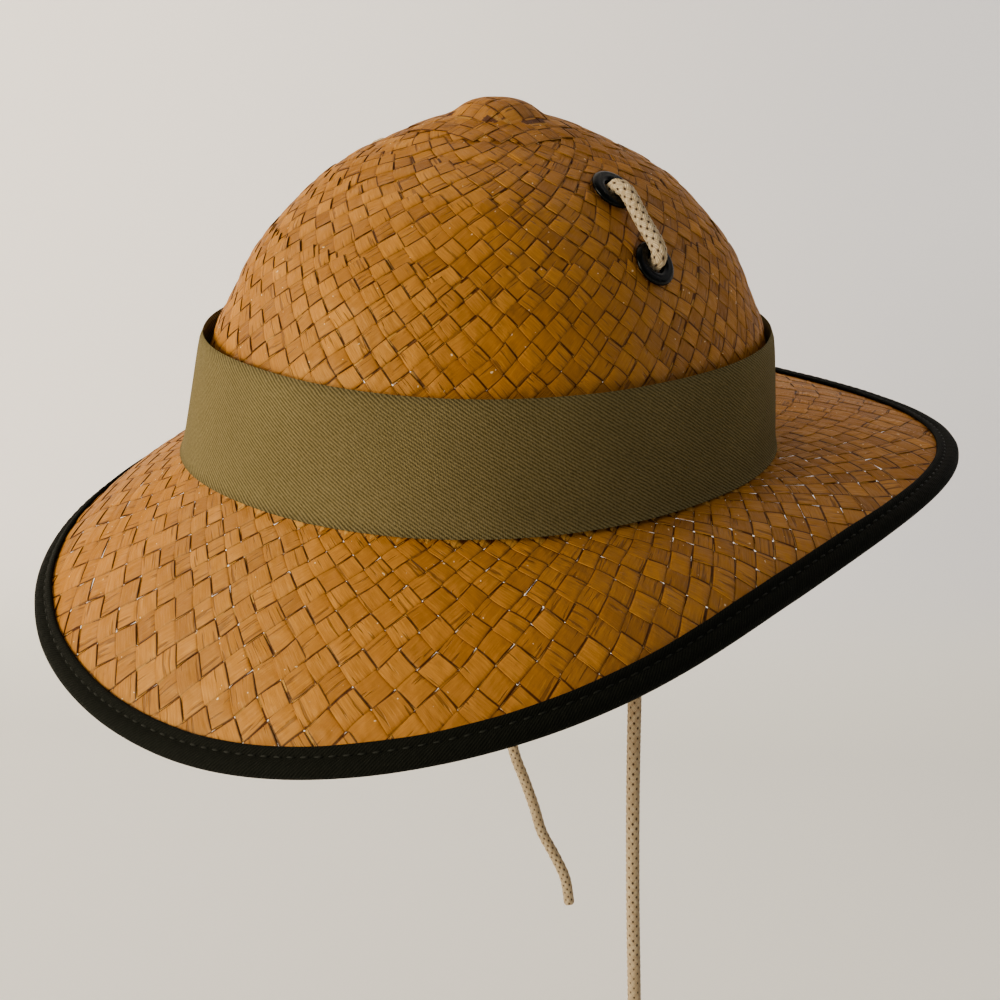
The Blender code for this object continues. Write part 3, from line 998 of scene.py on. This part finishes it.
def brim_row(away):
    """Row of the flat weave at a distance out from the crease, as rows of square pads add up."""
    if away <= 0:
        return -away / cell_start
    return -float(np.log(1 + cell_growth * away / cell_start) / cell_growth)


BRIM_MOST = max(brim_length(a) for a in turn_table)
distances = sorted(set(np.round(np.concatenate([
    np.linspace(-RISE_ON_CROWN - 0.008, -CREASE, 9),
    np.linspace(-CREASE, CREASE, 5),
    np.linspace(CREASE, BRIM_MOST + 0.012, 52),
]), 6)), reverse=True)
brim_rows = [(brim_row(d), d) for d in distances]
brim_guide = make_guide("brim_guide", foot_place, BRIM_STRIPS, brim_rows, 0.10)


def on_brim(turn, v):
    """0 for a pad of the brim, None for a place beyond the edge."""
    return 0.0 if v > brim_row(brim_length(direction_at(turn)) + 0.002) else None


brim_span = (brim_row(BRIM_MOST), brim_row(-RISE_ON_CROWN))
made = []
for label, pad_object, inside in WALL_FACES:
    cells = weave_cells(BRIM_STRIPS, *brim_span, inside, 0.0, on_brim, contrast=0.4, narrow=0.14)
    made.append(weave(f"weave_brim_{label}", cells, pad_object, brim_guide))

# %% [markdown]
# ### Crown
#
# The crown narrows upward, so strips have to end on the way up. Five zones with fewer and fewer
# strips keep the pads near one size. The border between two zones wanders, and the lower ends of
# each zone are tucked under, as a weaver hides the ends of added strips.

# %% Crown weave
# strips round, width share at the zone's foot
CROWN_ZONES = [(62, 0.975), (48, 0.765), (36, 0.585), (26, 0.436), (19, 0.318)]
TOP_WIDTH = 0.235
ZONE_WANDER = 0.030
BORDER_STEPS = 120
# how far a zone's top row stands up over the next zone, and how far its foot sinks
TOP_LIFT = 0.00008
FOOT_SINK = 0.00034
shares = np.linspace(0.02, 1, 160)
around = [2 * pi * k / 24 for k in range(24)]
rings = [[crown_point(a, s) for a in around] for s in shares]
ring_length = [sum((p - q).length for p, q in zip(r, r[1:] + r[:1])) for r in rings]
ring_step = [np.mean([(p - q).length for p, q in zip(r, t)]) for r, t in zip(rings, rings[1:])]
row_sums = np.concatenate([[0], np.cumsum([
    2 * step / (near + far) for step, near, far in zip(ring_step, ring_length, ring_length[1:])
])])


def crown_row(share, count):
    """Row of the flat weave at a share down the crown, counted up from the foot."""
    return float((row_sums[-1] - np.interp(share, shares, row_sums)) * count)


def zone_edges(width, count):
    """Row of a zone's border at steps round the crown: it wanders up and down on the way round."""
    rows = []
    for k in range(BORDER_STEPS + 1):
        angle = 2 * pi * k / BORDER_STEPS
        drift = noise.noise(Vector((1.3 * cos(angle), 1.3 * sin(angle), width * 40)))
        free = ZONE_WANDER if 0.3 < width < 0.9 else 0
        rows.append(crown_row(crown_share(width + free * drift, 1), count))
    return rows


def nearest_crossing(place, count, low, high, shift):
    """The crossing of strips nearest to a point, as (distance, u, v, point)."""
    best = None
    for k in range(int(2 * low) - 1, int(2 * high) + 2):
        v = k / 2
        share = float(np.interp(row_sums[-1] - v / count, row_sums, shares))
        for m in range(count):
            u = m + (0 if k % 2 == 0 else 0.5) + shift
            point = crown_point(direction_at(u / count), share)
            gap = (point - place).length
            if best is None or gap < best[0]:
                best = (gap, u, v, point)
    return best


crown_pieces = []
crown_guides = []
crossings = {}
for number, (count, wide) in enumerate(CROWN_ZONES):
    narrow_width = CROWN_ZONES[number + 1][1] if number + 1 < len(CROWN_ZONES) else TOP_WIDTH
    shift = 0.37 * number
    low = crown_row(crown_share(wide + ZONE_WANDER, 1) if number else crown_share(wide, 1), count)
    high = crown_row(crown_share(narrow_width - ZONE_WANDER, 1), count)
    keys = np.linspace(
        min(crown_share(wide, 1) + 0.12, 1.0), max(crown_share(narrow_width, 1) - 0.12, 0.02), 44
    )
    guide_rows = [(crown_row(s, count), s) for s in keys]
    zone_guide = make_guide(f"crown_guide_{count}", crown_point, count, guide_rows, 0.11)
    crown_guides.append(zone_guide)
    parted = []
    for index, (centre, axis) in enumerate(eyelet_places):
        width = float(through(CROWN_ROWS, crown_share(EYELETS[index][1]))[1])
        if narrow_width < width <= wide:
            found = nearest_crossing(centre, count, low, high, shift)
            crossings[index] = found[3]
            parted += [(found[1] + turn * count, found[2]) for turn in (-1, 0, 1)]
            print("crossing is", round(found[0] * 1000, 1), "mm from its eyelet")

    foot_edge = zone_edges(wide, count)
    top_edge = zone_edges(narrow_width, count)

    def in_zone(turn, v, foot_edge=foot_edge, top_edge=top_edge):
        """How far a pad stands up, or None outside the zone: each zone's foot is tucked in."""
        place = (turn - np.floor(turn)) * BORDER_STEPS
        above = v - np.interp(place, range(BORDER_STEPS + 1), foot_edge) + 0.75
        below = np.interp(place, range(BORDER_STEPS + 1), top_edge) - v + 0.25
        if above < 0 or below < 0:
            return None
        return TOP_LIFT * max(0, 1 - below) - FOOT_SINK * min(1, max(0, 2 - above))

    for label, pad_object, inside in WALL_FACES:
        cells = weave_cells(count, low - 1, high + 1, inside, shift, keep=in_zone, parted=parted)
        name = f"weave_crown_{count}_{label}"
        crown_pieces.append(weave(name, cells, pad_object, zone_guide))
made += crown_pieces

# %% [markdown]
# ### Top
#
# The strips start as a small square of plain weave on the knob at the top. It covers the ends of
# the highest zone.

# %% Top weave
CAP_REACH = 0.0265
CAP_CELL = 0.0057
CAP_MARGIN = 0.006
CAP_STEPS = 49
CAP_LIFT = 0.0003


def cap_point(x, y):
    """The crown's outer face at a place seen from above."""
    centre = 0.0
    for _ in range(3):
        ahead = y - centre
        width = (
            abs(x / CROWN_HALF_WIDTH) ** OVAL_SQUARENESS
            + abs(ahead / CROWN_HALF_LENGTH) ** OVAL_SQUARENESS
        ) ** (1 / OVAL_SQUARENESS)
        height, _, behind = through(CROWN_ROWS, crown_share(width, 1))
        centre = behind * CROWN_HALF_LENGTH
    return Vector((x, y, height * CROWN_HEIGHT + knob_rise(hypot(x, ahead))))


steps = np.linspace(-CAP_REACH - CAP_MARGIN, CAP_REACH + CAP_MARGIN, CAP_STEPS)
places = [(x, y) for x in steps for y in steps]
firsts = [a * CAP_STEPS + b for a in range(CAP_STEPS - 1) for b in range(CAP_STEPS - 1)]
faces = [(k, k + CAP_STEPS, k + CAP_STEPS + 1, k + 1) for k in firsts]
cap_guide = guide_object(
    "cap_guide", [cap_point(*place) for place in places], faces, np.array(places) / CAP_CELL
)
for label, pad_object, inside in WALL_FACES:
    local = np.random.default_rng(5)
    reach = int(CAP_REACH / CAP_CELL) + 1
    cells = []
    for i in range(-reach, reach + 1):
        for j in range(-reach, reach + 1):
            if hypot(i, j) * CAP_CELL > CAP_REACH - 0.0008:
                continue
            rising = ((i + j) % 2 == 0) != inside
            cells.append(
                {
                    "u": i + 0.03 * local.standard_normal(),
                    "v": j + 0.03 * local.standard_normal(),
                    "z": -STRAW_WALL / 2 + CAP_LIFT,
                    "turn": (0, 0, (0 if rising else pi / 2) + 0.05 * local.standard_normal()),
                    "size": (PAD_CELL, PAD_CELL * (1.01 + 0.04 * local.random()), 1),
                    "strip_shade": local.random(),
                    "pad_shade": local.random(),
                    "family": float(not rising),
                }
            )
    made.append(weave(f"weave_top_{label}", cells, pad_object, cap_guide))

# %% [markdown]
# ### Parting the strips at the eyelets
#
# A pointed tool parts the strips at a crossing before an eyelet goes in. The nearest crossing is
# drawn to each eyelet's axis, and the strips round it are pushed outward.

# %% Parted strips
DRAW_REACH = 0.02
PART_REACH = 0.013
PART_HOLE = 0.00395
PART_DEPTH = 0.008


def part_strips(obj, place, axis, crossing):
    """Draws the crossing to the eyelet at place, then opens a hole round the eyelet's axis."""
    mesh = obj.data
    points = np.empty(len(mesh.vertices) * 3, np.float32)
    mesh.vertices.foreach_get("co", points)
    points = points.reshape(-1, 3).astype(np.float64)
    axis = np.array(axis)
    place = np.array(place)
    shift = place - np.array(crossing)
    shift -= axis * (shift @ axis)
    away = points - np.array(crossing)
    radius = np.linalg.norm(away - np.outer(away @ axis, axis), axis=1)
    near = np.abs(away @ axis) < PART_DEPTH
    share = np.clip(radius / DRAW_REACH, 0, 1)
    fade = np.where(near, (1 - share) ** 2 * (1 + 2 * share), 0)
    points += np.outer(fade, shift)
    away = points - place
    along = away @ axis
    flat = away - np.outer(along, axis)
    radius = np.maximum(np.linalg.norm(flat, axis=1), 1e-9)
    near = (radius < PART_REACH) & (np.abs(along) < PART_DEPTH)
    target = radius + PART_HOLE * (1 - np.clip(radius / PART_REACH, 0, 1)) ** 2
    points += flat * np.where(near, target / radius - 1, 0)[:, None]
    mesh.vertices.foreach_set("co", points.ravel().astype(np.float32))
    mesh.update()


for index, (centre, axis) in enumerate(eyelet_places):
    for piece in crown_pieces:
        part_strips(piece, centre, axis, crossings[index])

for piece in made:
    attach(piece, "root")
    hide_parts("woven_body")
for helper in (pad_outside, pad_inside, brim_guide, cap_guide, *crown_guides):
    bpy.data.objects.remove(helper, do_unlink=True)
print("straw:", sum(triangles(piece) for piece in made), "triangles")

# %% [markdown]
# ## Hat band
#
# A folded strip of cotton twill, drawn round the crown and stitched behind. Twill weaves in fine
# diagonal ribs.

# %% Twill
twill_group, g, given, result = node_group(
    "Twill",
    "ShaderNodeTree",
    [("Place", "Vector", None), ("Pitch", "Float", 0.0011), ("Slope", "Float", 0.55)],
    [("Ribs", "Float"), ("Threads", "Float")],
)
cloth_place = g.add("ShaderNodeSeparateXYZ", {0: given.outputs["Place"]})
along_cloth, up_cloth = cloth_place.outputs["X"], cloth_place.outputs["Y"]
wobble = g.noise_at(given.outputs["Place"], 160.0, 2.0)
slanted = g.math("ADD", up_cloth, g.math("MULTIPLY", along_cloth, given.outputs["Slope"]))
slanted = g.math("ADD", slanted, g.math("MULTIPLY", wobble, 0.0007))
phase = g.math("DIVIDE", slanted, given.outputs["Pitch"])
ribs = g.math("SINE", g.math("MULTIPLY", phase, 2 * pi))
count_along = g.math("DIVIDE", along_cloth, given.outputs["Pitch"])
finer = g.math("SINE", g.math("MULTIPLY", count_along, 4 * pi))
threads = g.math("ADD", g.math("MULTIPLY", ribs, 0.5), g.math("MULTIPLY", finer, 0.22))
g.link(g.math("ADD", g.math("MULTIPLY", ribs, 0.5), 0.5), result.inputs["Ribs"])
g.link(g.math("ADD", threads, 0.5), result.inputs["Threads"])


def twill_material(name, dark, light, worn, pitch, slope, depth, rough):
    """Twill from dark hollows to light ribs, the hollows darker as painted shade, with worn fuzz,
    its ribs a pitch apart.
    """
    made, graph, surface = material(name)
    cloth_map = graph.add("ShaderNodeUVMap", uv_map="cloth").outputs[0]
    weave = graph.add("ShaderNodeGroup", node_tree=twill_group)
    graph.link(cloth_map, weave.inputs["Place"])
    weave.inputs["Pitch"].default_value = pitch
    weave.inputs["Slope"].default_value = slope
    spot = graph.spot()
    fuzz = graph.noise_at(spot, 1500.0, 2.0)
    patch = graph.noise_at(spot, 22.0, 3.0)
    # Painted shade: the hollows between ribs are darker than the ribs.
    color = graph.mix(weave.outputs["Threads"], dark, light)
    color = graph.mix(graph.ramp(fuzz, 0.35, 0.75, 0.0, 0.25), color, worn)
    color = graph.mix(graph.ramp(patch, 0.35, 0.75, 0.0, 0.22), color, dark)
    graph.link(color, surface.inputs["Base Color"])
    surface.inputs["Roughness"].default_value = rough
    surface.inputs["Specular IOR Level"].default_value = 0.04
    height = graph.math("ADD", weave.outputs["Threads"], graph.math("MULTIPLY", fuzz, 0.5))
    raised = graph.add("ShaderNodeBump", {"Height": height, "Strength": 0.7, "Distance": depth})
    graph.link(raised.outputs[0], surface.inputs["Normal"])
    return made


khaki = twill_material(
    "khaki_twill",
    dark=(0.047, 0.035, 0.010),
    light=(0.172, 0.131, 0.050),
    worn=(0.24, 0.19, 0.095),
    pitch=0.00100,
    slope=0.55,
    depth=0.0002,
    rough=0.9,
)
tape_cloth = twill_material(
    "tape_twill",
    dark=(0.0012, 0.0015, 0.0008),
    light=(0.0055, 0.0060, 0.0038),
    worn=(0.012, 0.012, 0.008),
    pitch=0.0011,
    slope=0.9,
    depth=0.00015,
    rough=0.8,
)
print("twills ready")

# %% [markdown]
# The band is a ring of cloth with rounded folds at both edges. It stands off the straw a little
# at the top, more in some places than in others.


# %% Band
def ring_mesh(name, sections, lengths, widths):
    """A closed skin through closed sections placed round the head, with a cloth map in metres."""
    mesh = bpy.data.meshes.new(name)
    high = len(sections[0])
    around_count = len(sections)
    faces = []
    uvs = []
    for k in range(around_count):
        following = (k + 1) % around_count
        for j in range(high):
            up_row = (j + 1) % high
            here, there = k * high, following * high
            faces.append((here + j, there + j, there + up_row, here + up_row))
            v0, v1 = widths[j], widths[j + 1]
            u0, u1 = lengths[k], lengths[k + 1]
            uvs += [(u0, v0), (u1, v0), (u1, v1), (u0, v1)]
    mesh.from_pydata([p for section in sections for p in section], [], faces)
    layer = mesh.uv_layers.new(name="cloth")
    layer.data.foreach_set("uv", np.array(uvs, np.float32).ravel())
    mesh.shade_smooth()
    grid = bmesh.new()
    grid.from_mesh(mesh)
    if grid.calc_volume(signed=True) < 0:
        bmesh.ops.reverse_faces(grid, faces=grid.faces)
        grid.to_mesh(mesh)
    grid.free()
    return mesh


BAND_THICK = 0.0012
# The cloth hangs a little lower than the solid, down onto the brim's crease.
BAND_LOW = 0.0001
# how far it stands off the straw: all over, at its foot, at its top and where its top gapes
BAND_GAP = 0.0005
BAND_FOOT_GAP = 0.0012
BAND_TOP_GAP = 0.0010
BAND_GAPE = 0.0014
BAND_GAPE_TURN = radians(47)
BAND_ROUND = 288
BAND_ROWS = 14
sections = []
length = [0.0]
for k in range(BAND_ROUND):
    direction = direction_at(k / BAND_ROUND)
    outward = oval_normal(direction)
    lean = 0.5 + 0.5 * cos(direction + BAND_GAPE_TURN)
    outer = []
    inner = []
    for j in range(BAND_ROWS + 1):
        rise = j / BAND_ROWS
        level_up = BAND_LOW + (BAND_FOOT - BAND_LOW) * rise + BAND_HEIGHT * rise
        point = crown_point(direction, crown_share(level_up / CROWN_HEIGHT))
        grain = Vector((point.x * 45, point.y * 45, rise * 1.3))
        ripple = noise.noise(grain) * 0.00035 * (0.4 + rise)
        stand = BAND_GAP + BAND_FOOT_GAP * max(0, 1 - rise * 12)
        stand = stand + (BAND_TOP_GAP + BAND_GAPE * lean**8) * rise**2 + ripple
        fold = sqrt(max(0.0, 1 - (abs(2 * rise - 1) ** 14)))
        inner.append(point + outward * (stand + BAND_THICK * 0.5 * (1 - fold)))
        outer.append(point + outward * (stand + BAND_THICK * (0.5 + 0.5 * fold)))
    section = outer + inner[::-1]
    if sections:
        length.append(length[-1] + (section[0] - sections[-1][0]).length)
    sections.append(section)
length.append(length[-1] + (sections[0][0] - sections[-1][0]).length)
rise_map = [BAND_HEIGHT * j / BAND_ROWS for j in range(BAND_ROWS + 1)]
width_map = rise_map + [BAND_HEIGHT + BAND_THICK + BAND_HEIGHT - r for r in rise_map[::-1]]
width_map.append(width_map[-1] + BAND_THICK)
band = link_object("twill_band", ring_mesh("twill_band", sections, length, width_map))
band.data.materials.append(khaki)
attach(band, "root")
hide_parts("hat_band")
print("band", triangles(band), "triangles,", round(length[-1], 3), "m round")

# %% [markdown]
# ## Edge tape
#
# A woven tape folded over the brim's edge, stitched through near its inner side. The stitching
# pulls a groove into it, and the fold beyond the groove is a plump roll.

# %% Tape
TAPE_ROUND = 720
STITCH_PITCH = 0.0042
GROOVE_HEIGHT = 0.0013
PUCKER_DEPTH = 0.00018
tape_profile = [
    # out along the brim from the tape's inner edge, height off the straw's middle
    (0.0000, 0.00125), (0.0003, 0.0017), (0.0013, 0.0018), (0.0022, 0.00175),
    (0.0028, GROOVE_HEIGHT), (0.0034, 0.0017), (0.0043, 0.0022), (0.0055, 0.0023),
    (0.0068, 0.0020), (0.0079, 0.0011), (0.0083, 0.0),
]
TAPE_OVERHANG = 0.0009
TAPE_THICK = 0.0006
sections = []
tape_length = [0.0]
groove_line = []
for k in range(TAPE_ROUND):
    direction = direction_at(k / TAPE_ROUND)
    slope = brim_length(direction)
    edge = brim_point(direction, 1)
    normal = brim_normal(direction, 1)
    outward = (edge - brim_point(direction, 0.99)).normalized()
    if sections:
        tape_length.append(tape_length[-1] + (edge - last_edge).length)
    last_edge = edge
    run = tape_length[-1]
    pucker = 0.5 + 0.5 * cos(2 * pi * run / STITCH_PITCH)
    waver = noise.noise(edge * 60)
    section = []
    for side in (1, -1):
        part = []
        for out, height in tape_profile[: None if side == 1 else -1]:
            reach = out - tape_profile[-1][0] + TAPE_OVERHANG
            share = min(1, 1 + reach / slope)
            beyond = max(0, reach)
            base = brim_point(direction, share) + outward * beyond
            middle = base - brim_normal(direction, share) * STRAW_WALL / 2
            deep = PUCKER_DEPTH * pucker if 0.0018 < out < 0.0062 else 0
            lift = height - deep + waver * 0.00012
            edge_wave = 0.00025 * waver if out < 0.0010 else 0
            part.append(middle + normal * side * lift + outward * edge_wave)
            if side == 1 and height == GROOVE_HEIGHT:
                groove_line.append(middle + normal * (lift + 0.0001))
        section += part if side == 1 else part[::-1]
    # The tape's inner face, with half as many points, lies its thickness inside the outer one.
    middles = [(near + far) / 2 for near, far in zip(section, section[::-1])]
    lining = []
    for point, middle in list(zip(section, middles))[::2]:
        away = point - middle
        slim = TAPE_THICK / away.length if away.length > TAPE_THICK else 0.0
        if point is section[len(section) // 2]:
            lining.append(point - outward * TAPE_THICK)
        else:
            lining.append(point - away * slim)
    section += lining[::-1]
    sections.append(section)
tape_length.append(tape_length[-1] + (brim_point(direction_at(0), 1) - last_edge).length)
profile_steps = [
    hypot(b[0] - a[0], b[1] - a[1]) for a, b in zip(tape_profile, tape_profile[1:])
]
half_width = np.cumsum([0] + profile_steps)
tape_map = list(half_width) + list(2 * half_width[-1] - half_width[-2::-1])
tape_map += [tape_map[-1]] + tape_map[::-2] + [0.0]
tape = link_object("edge_tape", ring_mesh("edge_tape", sections, tape_length, tape_map))
tape.data.materials.append(tape_cloth)
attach(tape, "root")
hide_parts("brim_binding")
print("tape", triangles(tape), "triangles,", round(tape_length[-1], 3), "m round")

# %% [markdown]
# ### Stitches
#
# A machine sews the tape on with one row of lock stitches, which lie in the groove they pull. One
# short plump stitch is copied along the groove, each copy turned to follow it.

# %% Stitches
STITCH_LENGTH = 0.0030
STITCH_RADIUS = 0.00034
stitch_group, g, given, result = node_group(
    "Row of stitches",
    "GeometryNodeTree",
    [
        ("Groove", "Geometry", None),
        ("Stitch", "Object", None),
        ("Pitch", "Float", STITCH_PITCH),
        ("Material", "Material", None),
    ],
    [("Mesh", "Geometry")],
)
spaced = g.add(
    "GeometryNodeResampleCurve",
    {"Curve": given.outputs["Groove"], "Length": given.outputs["Pitch"]},
    mode="LENGTH",
)
tangent = g.add("GeometryNodeInputTangent").outputs[0]
along_groove = g.add("FunctionNodeAlignRotationToVector", {"Vector": tangent}, axis="X").outputs[0]
stitch = g.add("GeometryNodeObjectInfo", {"Object": given.outputs["Stitch"]})
laid = g.add(
    "GeometryNodeInstanceOnPoints",
    {"Points": spaced.outputs[0], "Instance": stitch.outputs["Geometry"], "Rotation": along_groove},
)
real = g.add("GeometryNodeRealizeInstances", {"Geometry": laid.outputs[0]})
end_recipe(g, real.outputs[0], given, result)

thread, g, shader = material("thread")
place = g.spot()
lint = g.noise_at(place, 1800.0, 2.0)
color = g.mix(lint, (0.003, 0.0035, 0.0025), (0.016, 0.017, 0.012))
g.link(color, shader.inputs["Base Color"])
shader.inputs["Roughness"].default_value = 0.6
shader.inputs["Specular IOR Level"].default_value = 0.10

grid = bmesh.new()
bmesh.ops.create_uvsphere(grid, u_segments=6, v_segments=4, radius=1)
stretch = Matrix.Diagonal((STITCH_LENGTH / 2, STITCH_RADIUS, STITCH_RADIUS, 1))
bmesh.ops.transform(grid, verts=grid.verts, matrix=stretch)
mesh = bpy.data.meshes.new("stitch")
grid.to_mesh(mesh)
grid.free()
mesh.shade_smooth()
one_stitch = link_object("stitch", mesh)
groove = line_object("stitches", groove_line, closed=True)
row = grown(groove, stitch_group, {"Stitch": one_stitch, "Material": thread})
bpy.data.objects.remove(one_stitch, do_unlink=True)
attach(row, "root")
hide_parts("brim_binding")
print("stitches", triangles(row), "triangles")

# %% [markdown]
# ## Eyelets
#
# Turned brass or plastic rings, painted glossy black. The flange outside is a half-round bead with
# a shallow groove, and the tube's end is rolled over inside, which holds the ring in the straw.

# %% Eyelets
black, g, shader = material("eyelet_black")
place = g.spot()
scuff = g.noise_at(place, 500.0, 4.0)
g.link(g.ramp(scuff, 0.3, 0.75, 0.16, 0.34), shader.inputs["Roughness"])
worn = g.ramp(scuff, 0.62, 0.8, 0.0, 0.5)
color = g.mix(worn, (0.0008, 0.0012, 0.0010), (0.006, 0.007, 0.006))
g.link(color, shader.inputs["Base Color"])
shader.inputs["Specular IOR Level"].default_value = 0.09
# distance from the axis, height along it
ring_profile = [
    (EYELET_HOLE, -0.0034), (EYELET_HOLE, 0.0004), (EYELET_HOLE + 0.0003, 0.0010),
    (EYELET_HOLE + 0.0009, 0.00150), (EYELET_HOLE + 0.0017, 0.0016), (EYELET_HOLE + 0.0022, 0.0014),
    (EYELET_HOLE + 0.0028, 0.0016), (EYELET_RADIUS - 0.0007, 0.0013),
    (EYELET_RADIUS - 0.0001, 0.0007), (EYELET_RADIUS, 0.0001), (EYELET_RADIUS - 0.0003, -0.0003),
    (EYELET_HOLE + 0.0007, -0.0004), (EYELET_HOLE + 0.0007, -0.0025), (0.0050, -0.0026),
    (0.0053, -0.0029), (0.0050, -0.0033), (EYELET_HOLE + 0.0006, -0.0036),
]
names = ["eyelet_left_upper", "eyelet_left_lower", "eyelet_right_upper", "eyelet_right_lower"]
TURNS = 48
for name, (centre, axis) in zip(names, eyelet_places):
    stand = axis.to_track_quat("Z", "Y").to_matrix()
    ring_sections = []
    for k in range(TURNS):
        angle = 2 * pi * k / TURNS
        points = [Vector((r * cos(angle), r * sin(angle), h)) for r, h in ring_profile]
        ring_sections.append([centre + stand @ point for point in points])
    no_map = [0.0] * (TURNS + len(ring_profile))
    mesh = ring_mesh("ring_" + name, ring_sections, no_map, no_map)
    ring_piece = link_object("ring_" + name, mesh)
    ring_piece.data.materials.append(black)
    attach(ring_piece, "root")
    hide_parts(name)
print("eyelets made")

# %% [markdown]
# ## Room
#
# A pale floor and wall in one piece with a rounded corner, and one broad soft window light from
# the upper left. The wall and floor glow a little, as painted light: warm on the left and cool on
# the right, an emissive backdrop that stands in for daylight from both sides and lights the hat
# too.
# From behind it is clear, so that the hat can be looked at from every side.

# %% Room
FLOOR_HEIGHT = -0.30
WALL_AWAY = 0.42
CORNER = 0.05
SWEEP_FAR = 3.0
SWEEP_SIDE = 4
sweep_profile = [(-SWEEP_FAR, 0.0), (WALL_AWAY - CORNER, 0.0)]
for angle in np.linspace(0.2, pi / 2, 8):
    sweep_profile.append((WALL_AWAY - CORNER * (1 - sin(angle)), CORNER * (1 - cos(angle))))
sweep_profile.append((WALL_AWAY, SWEEP_FAR))
ahead = Vector((-sin(AZIMUTH), cos(AZIMUTH), 0))
points = []
for away, rise in sweep_profile:
    for side in (-SWEEP_SIDE, SWEEP_SIDE):
        points.append(ahead * away + level * side + Vector((0, 0, FLOOR_HEIGHT + rise)))
faces = [(k, k + 1, k + 3, k + 2) for k in range(0, len(points) - 2, 2)]
floor_mesh = bpy.data.meshes.new("sweep")
floor_mesh.from_pydata(points, [], faces)
floor_mesh.shade_smooth()
floor = link_object("sweep", floor_mesh)
pale, g, shader = material("pale")
place = g.spot()
apart = g.add("ShaderNodeSeparateXYZ", {0: place})
rise = g.ramp(apart.outputs["Z"], FLOOR_HEIGHT, FLOOR_HEIGHT + 0.6)
g.link(g.mix(rise, (0.70, 0.68, 0.65), (0.78, 0.76, 0.74)), shader.inputs["Base Color"])
inputs = {0: place, 1: tuple(level)}
sideways = g.add("ShaderNodeVectorMath", inputs, operation="DOT_PRODUCT").outputs["Value"]
# Painted light: the backdrop glows, warmer on the left and cooler on the right.
glow = g.mix(g.ramp(sideways, -0.28, 0.28), (0.74, 0.63, 0.54), (0.27, 0.275, 0.325))
on_wall = g.ramp(apart.outputs["Z"], FLOOR_HEIGHT - 0.01, FLOOR_HEIGHT + 0.12)
glow = g.mix(on_wall, (0.33, 0.31, 0.25), glow)
g.link(glow, shader.inputs["Emission Color"])
shader.inputs["Emission Strength"].default_value = 1.0
shader.inputs["Roughness"].default_value = 0.9
shader.inputs["Specular IOR Level"].default_value = 0.1
behind = g.add("ShaderNodeNewGeometry").outputs["Backfacing"]
clear = g.add("ShaderNodeBsdfTransparent").outputs[0]
seen = g.add("ShaderNodeMixShader", {0: behind, 1: shader.outputs[0], 2: clear})
g.link(seen.outputs[0], g.tree.nodes["Material Output"].inputs["Surface"])
floor.data.materials.append(pale)
floor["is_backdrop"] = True

# The room lights the hat dimly from all round, and looks pale to the camera.
world = bpy.data.worlds.new("room")
world.use_nodes = True
bpy.context.scene.world = world
around = Graph(world.node_tree)
camera_ray = around.add("ShaderNodeLightPath").outputs["Is Camera Ray"]
sky = around.mix(camera_ray, (0.18, 0.176, 0.172), (0.62, 0.60, 0.58))
around.link(sky, world.node_tree.nodes["Background"].inputs["Color"])
world.node_tree.nodes["Background"].inputs["Strength"].default_value = 1.0


def soft_light(name, place, size, power, color):
    """A rectangular light that looks at the origin."""
    data = bpy.data.lights.new(name, "AREA")
    data.shape = "RECTANGLE"
    data.size, data.size_y = size
    data.energy = power
    data.color = color
    lamp = bpy.data.objects.new(name, data)
    bpy.context.scene.collection.objects.link(lamp)
    lamp.location = place
    lamp.rotation_euler = (-Vector(place)).to_track_quat("-Z", "Y").to_euler()
    lamp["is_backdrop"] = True


toward = -ahead
window = toward * 0.96 - level * 1.76 + Vector((0, 0, 0.42))
soft_light("window", window, (1.28, 0.96), 74, (1.0, 0.90, 0.72))
fill = toward * 0.5 + level * 1.2 + Vector((0, 0, 0.9))
soft_light("fill", fill, (1.0, 1.0), 2.0, (0.92, 0.94, 1.0))
soft_light("overhead", ahead * 0.3 + Vector((0, 0, 1.4)), (1.2, 1.2), 2.0, (1.0, 0.97, 0.93))
print("room ready")

# %% [markdown]
# ## Finish
# The size of the finished hat is printed.

# %% Finish
low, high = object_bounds()
print("size now", [round(b - a, 4) for a, b in zip(low, high)])
